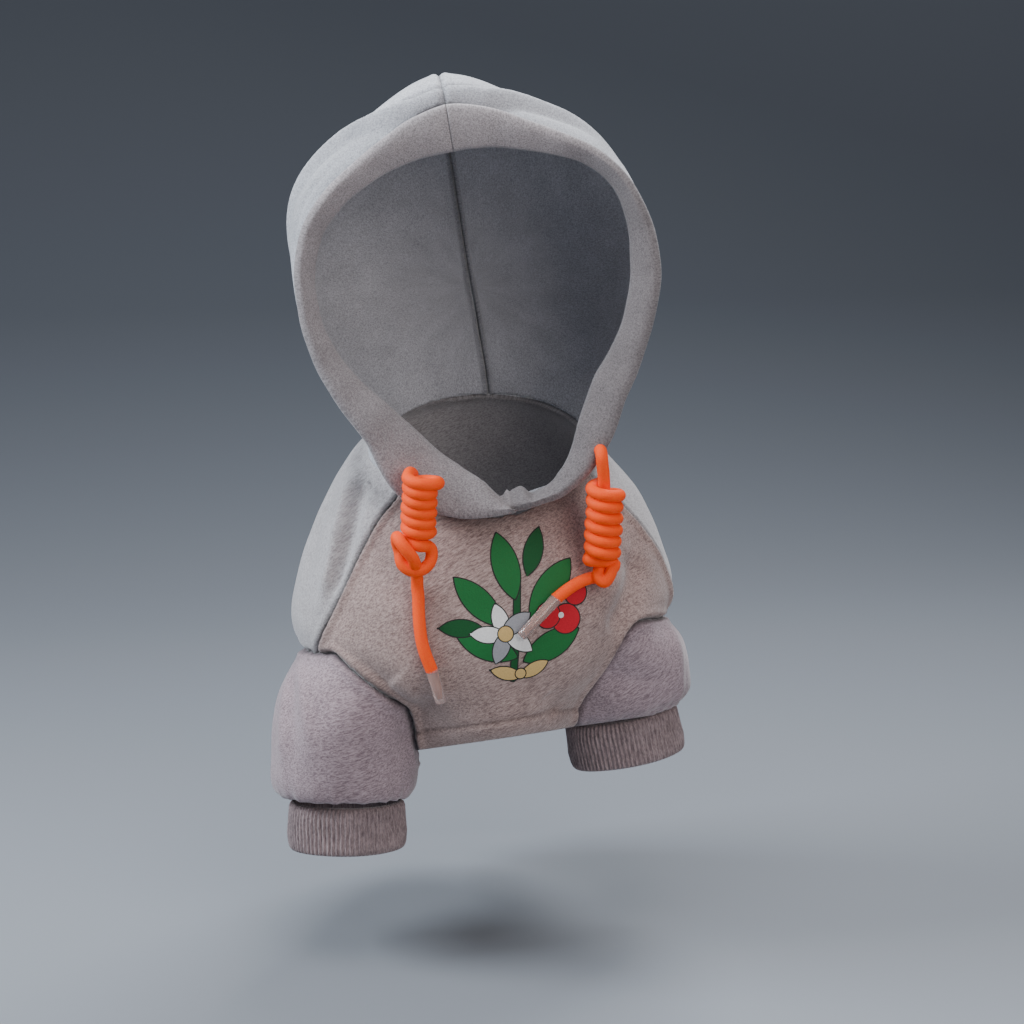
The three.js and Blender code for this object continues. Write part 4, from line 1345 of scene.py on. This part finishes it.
def ink_stuff(name, colour):
    """Soft print ink with the cloth's grain showing a little."""
    material, tree, main = shader(f"ink_{name}", colour, 0.7, 0.05)
    place = add_node(tree, "Attribute", {}, attribute_name="weave").outputs["Vector"]
    grain = add_node(tree, "TexNoise", {"Vector": place, "Scale": 1.6, "Detail": 3})
    grain = grain.outputs["Fac"]
    tone = add_node(tree, "MapRange", {"To Min": 0.78, "To Max": 1.16, "Value": grain})
    colour = toned(tree, srgb(*colour), tone.outputs[0])
    finish_look(tree, main, colour, grain, 0.25, 0.0004)
    return material


inks = [ink_stuff(name, colour) for name, colour in INKS.items()]
picture = add_piece("chest_print", sheet_bm, inks[0], weaves["chest_panel"])
for material in inks[1:]:
    picture.data.materials.append(material)
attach(picture, "root")

# ---- pieces joined to the frame's root body, with the frame's own parts of the same names hidden
for name, piece in made.items():
    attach(piece, "root")
    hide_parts(name)

# ---- stage and light
# Height of the floor in mm
FLOOR_HEIGHT = -200
# One sheet that is floor in front and turns up to a wall behind. Sizes in m
STAGE_FRONT = -12
STAGE_HALF_WIDTH = 12
STAGE_HEIGHT = 4
CURVE_START = 0.5
CURVE_RADIUS = 1.1
CURVE_STEPS = 24
stage_line = [(STAGE_FRONT, 0.0), (CURVE_START, 0.0)]
for step in range(1, CURVE_STEPS + 1):
    turn = math.pi / 2 * step / CURVE_STEPS
    rise = CURVE_RADIUS * (1 - math.cos(turn))
    stage_line.append((CURVE_START + CURVE_RADIUS * math.sin(turn), rise))
stage_line.append((CURVE_START + CURVE_RADIUS, STAGE_HEIGHT))
stage_points = [(x, y, z) for y, z in stage_line for x in (-STAGE_HALF_WIDTH, STAGE_HALF_WIDTH)]
stage_faces = [(2 * k, 2 * k + 1, 2 * k + 3, 2 * k + 2) for k in range(len(stage_line) - 1)]
floor_mesh = mesh_of(stage_points, stage_faces)
smooth_faces(floor_mesh)
floor = add_object("floor", floor_mesh)
floor.location.z = (FLOOR_HEIGHT - SEAT[2]) / 1000
floor_material, tree, main = shader("floor_grey", (138, 142, 148), 0.7)
place = add_node(tree, "TexCoord", {}).outputs["Object"]
axes = add_node(tree, "SeparateXYZ", {0: place})
# Painted shade: the sheet's colour darkens from the floor in front to the wall behind.
back = add_node(tree, "MapRange", {"From Min": -0.4, "From Max": 1.6, "Value": axes.outputs["Y"]})
fade = two_colours(tree, back.outputs[0], (0.0, (138, 142, 148)), (0.72, (70, 73, 79)))
tree.links.new(fade, main.inputs["Base Color"])
floor_mesh.materials.append(floor_material)

world = bpy.data.worlds.new("soft")
world.use_nodes = True
world.node_tree.nodes["Background"].inputs["Color"].default_value = srgb(184, 192, 206)
world.node_tree.nodes["Background"].inputs["Strength"].default_value = 0.42
bpy.context.scene.world = world


def soft_light(name, place, aim, size, power, colour):
    """Large soft lamp at a place in mm, turned to another."""
    data = bpy.data.lights.new(name, "AREA")
    data.size = size
    data.energy = power
    data.color = colour
    lamp = add_object(name, data)
    at = (np.array(place, float) - SEAT) / 1000
    to = (np.array(aim, float) - SEAT) / 1000
    lamp.location = at
    lamp.rotation_euler = Vector(to - at).to_track_quat("-Z", "Y").to_euler()


soft_light("key", (-900, 60, 620), (0, 0, 30), 0.5, 19, (0.86, 0.93, 1.0))
soft_light("front", (380, -1150, 460), (0, 0, -30), 0.8, 7.6, (1.0, 0.92, 0.88))
soft_light("rim", (300, 420, 760), (0, 0, 60), 0.5, 12, (0.92, 0.96, 1.0))
soft_light("wall", (1000, 700, 1100), (900, 1600, 900), 0.6, 5, (0.94, 0.97, 1.0))
soft_light("floor_pool", (-100, -500, 1500), (-50, -350, -225), 0.9, 14, (0.97, 0.98, 1.0))

# ---- camera
MM_PER_PIXEL = 0.42
PICTURE_MIDDLE = 512
ORIGIN_PIXEL = (484, 475)
VIEW_DISTANCE = 950
view_turn = math.radians(-12)
view_rise = math.radians(12)
back_of_view = np.array([
    math.sin(view_turn) * math.cos(view_rise), -math.cos(view_turn) * math.cos(view_rise),
    math.sin(view_rise),
])
right_of_view = np.array([math.cos(view_turn), math.sin(view_turn), 0])
up_of_view = np.cross(back_of_view, right_of_view)
to_right, to_below = (PICTURE_MIDDLE - pixel for pixel in ORIGIN_PIXEL)
aim = right_of_view * to_right * MM_PER_PIXEL - up_of_view * to_below * MM_PER_PIXEL
eye = aim + back_of_view * VIEW_DISTANCE
camera_data = bpy.data.cameras.new("camera")
camera_data.lens = 79.5
camera_data.sensor_width = 36
camera = add_object("camera", camera_data)
camera.location = (eye - SEAT) / 1000
camera.rotation_euler = Vector((aim - eye) / 1000).to_track_quat("-Z", "Y").to_euler()
bpy.context.scene.camera = camera
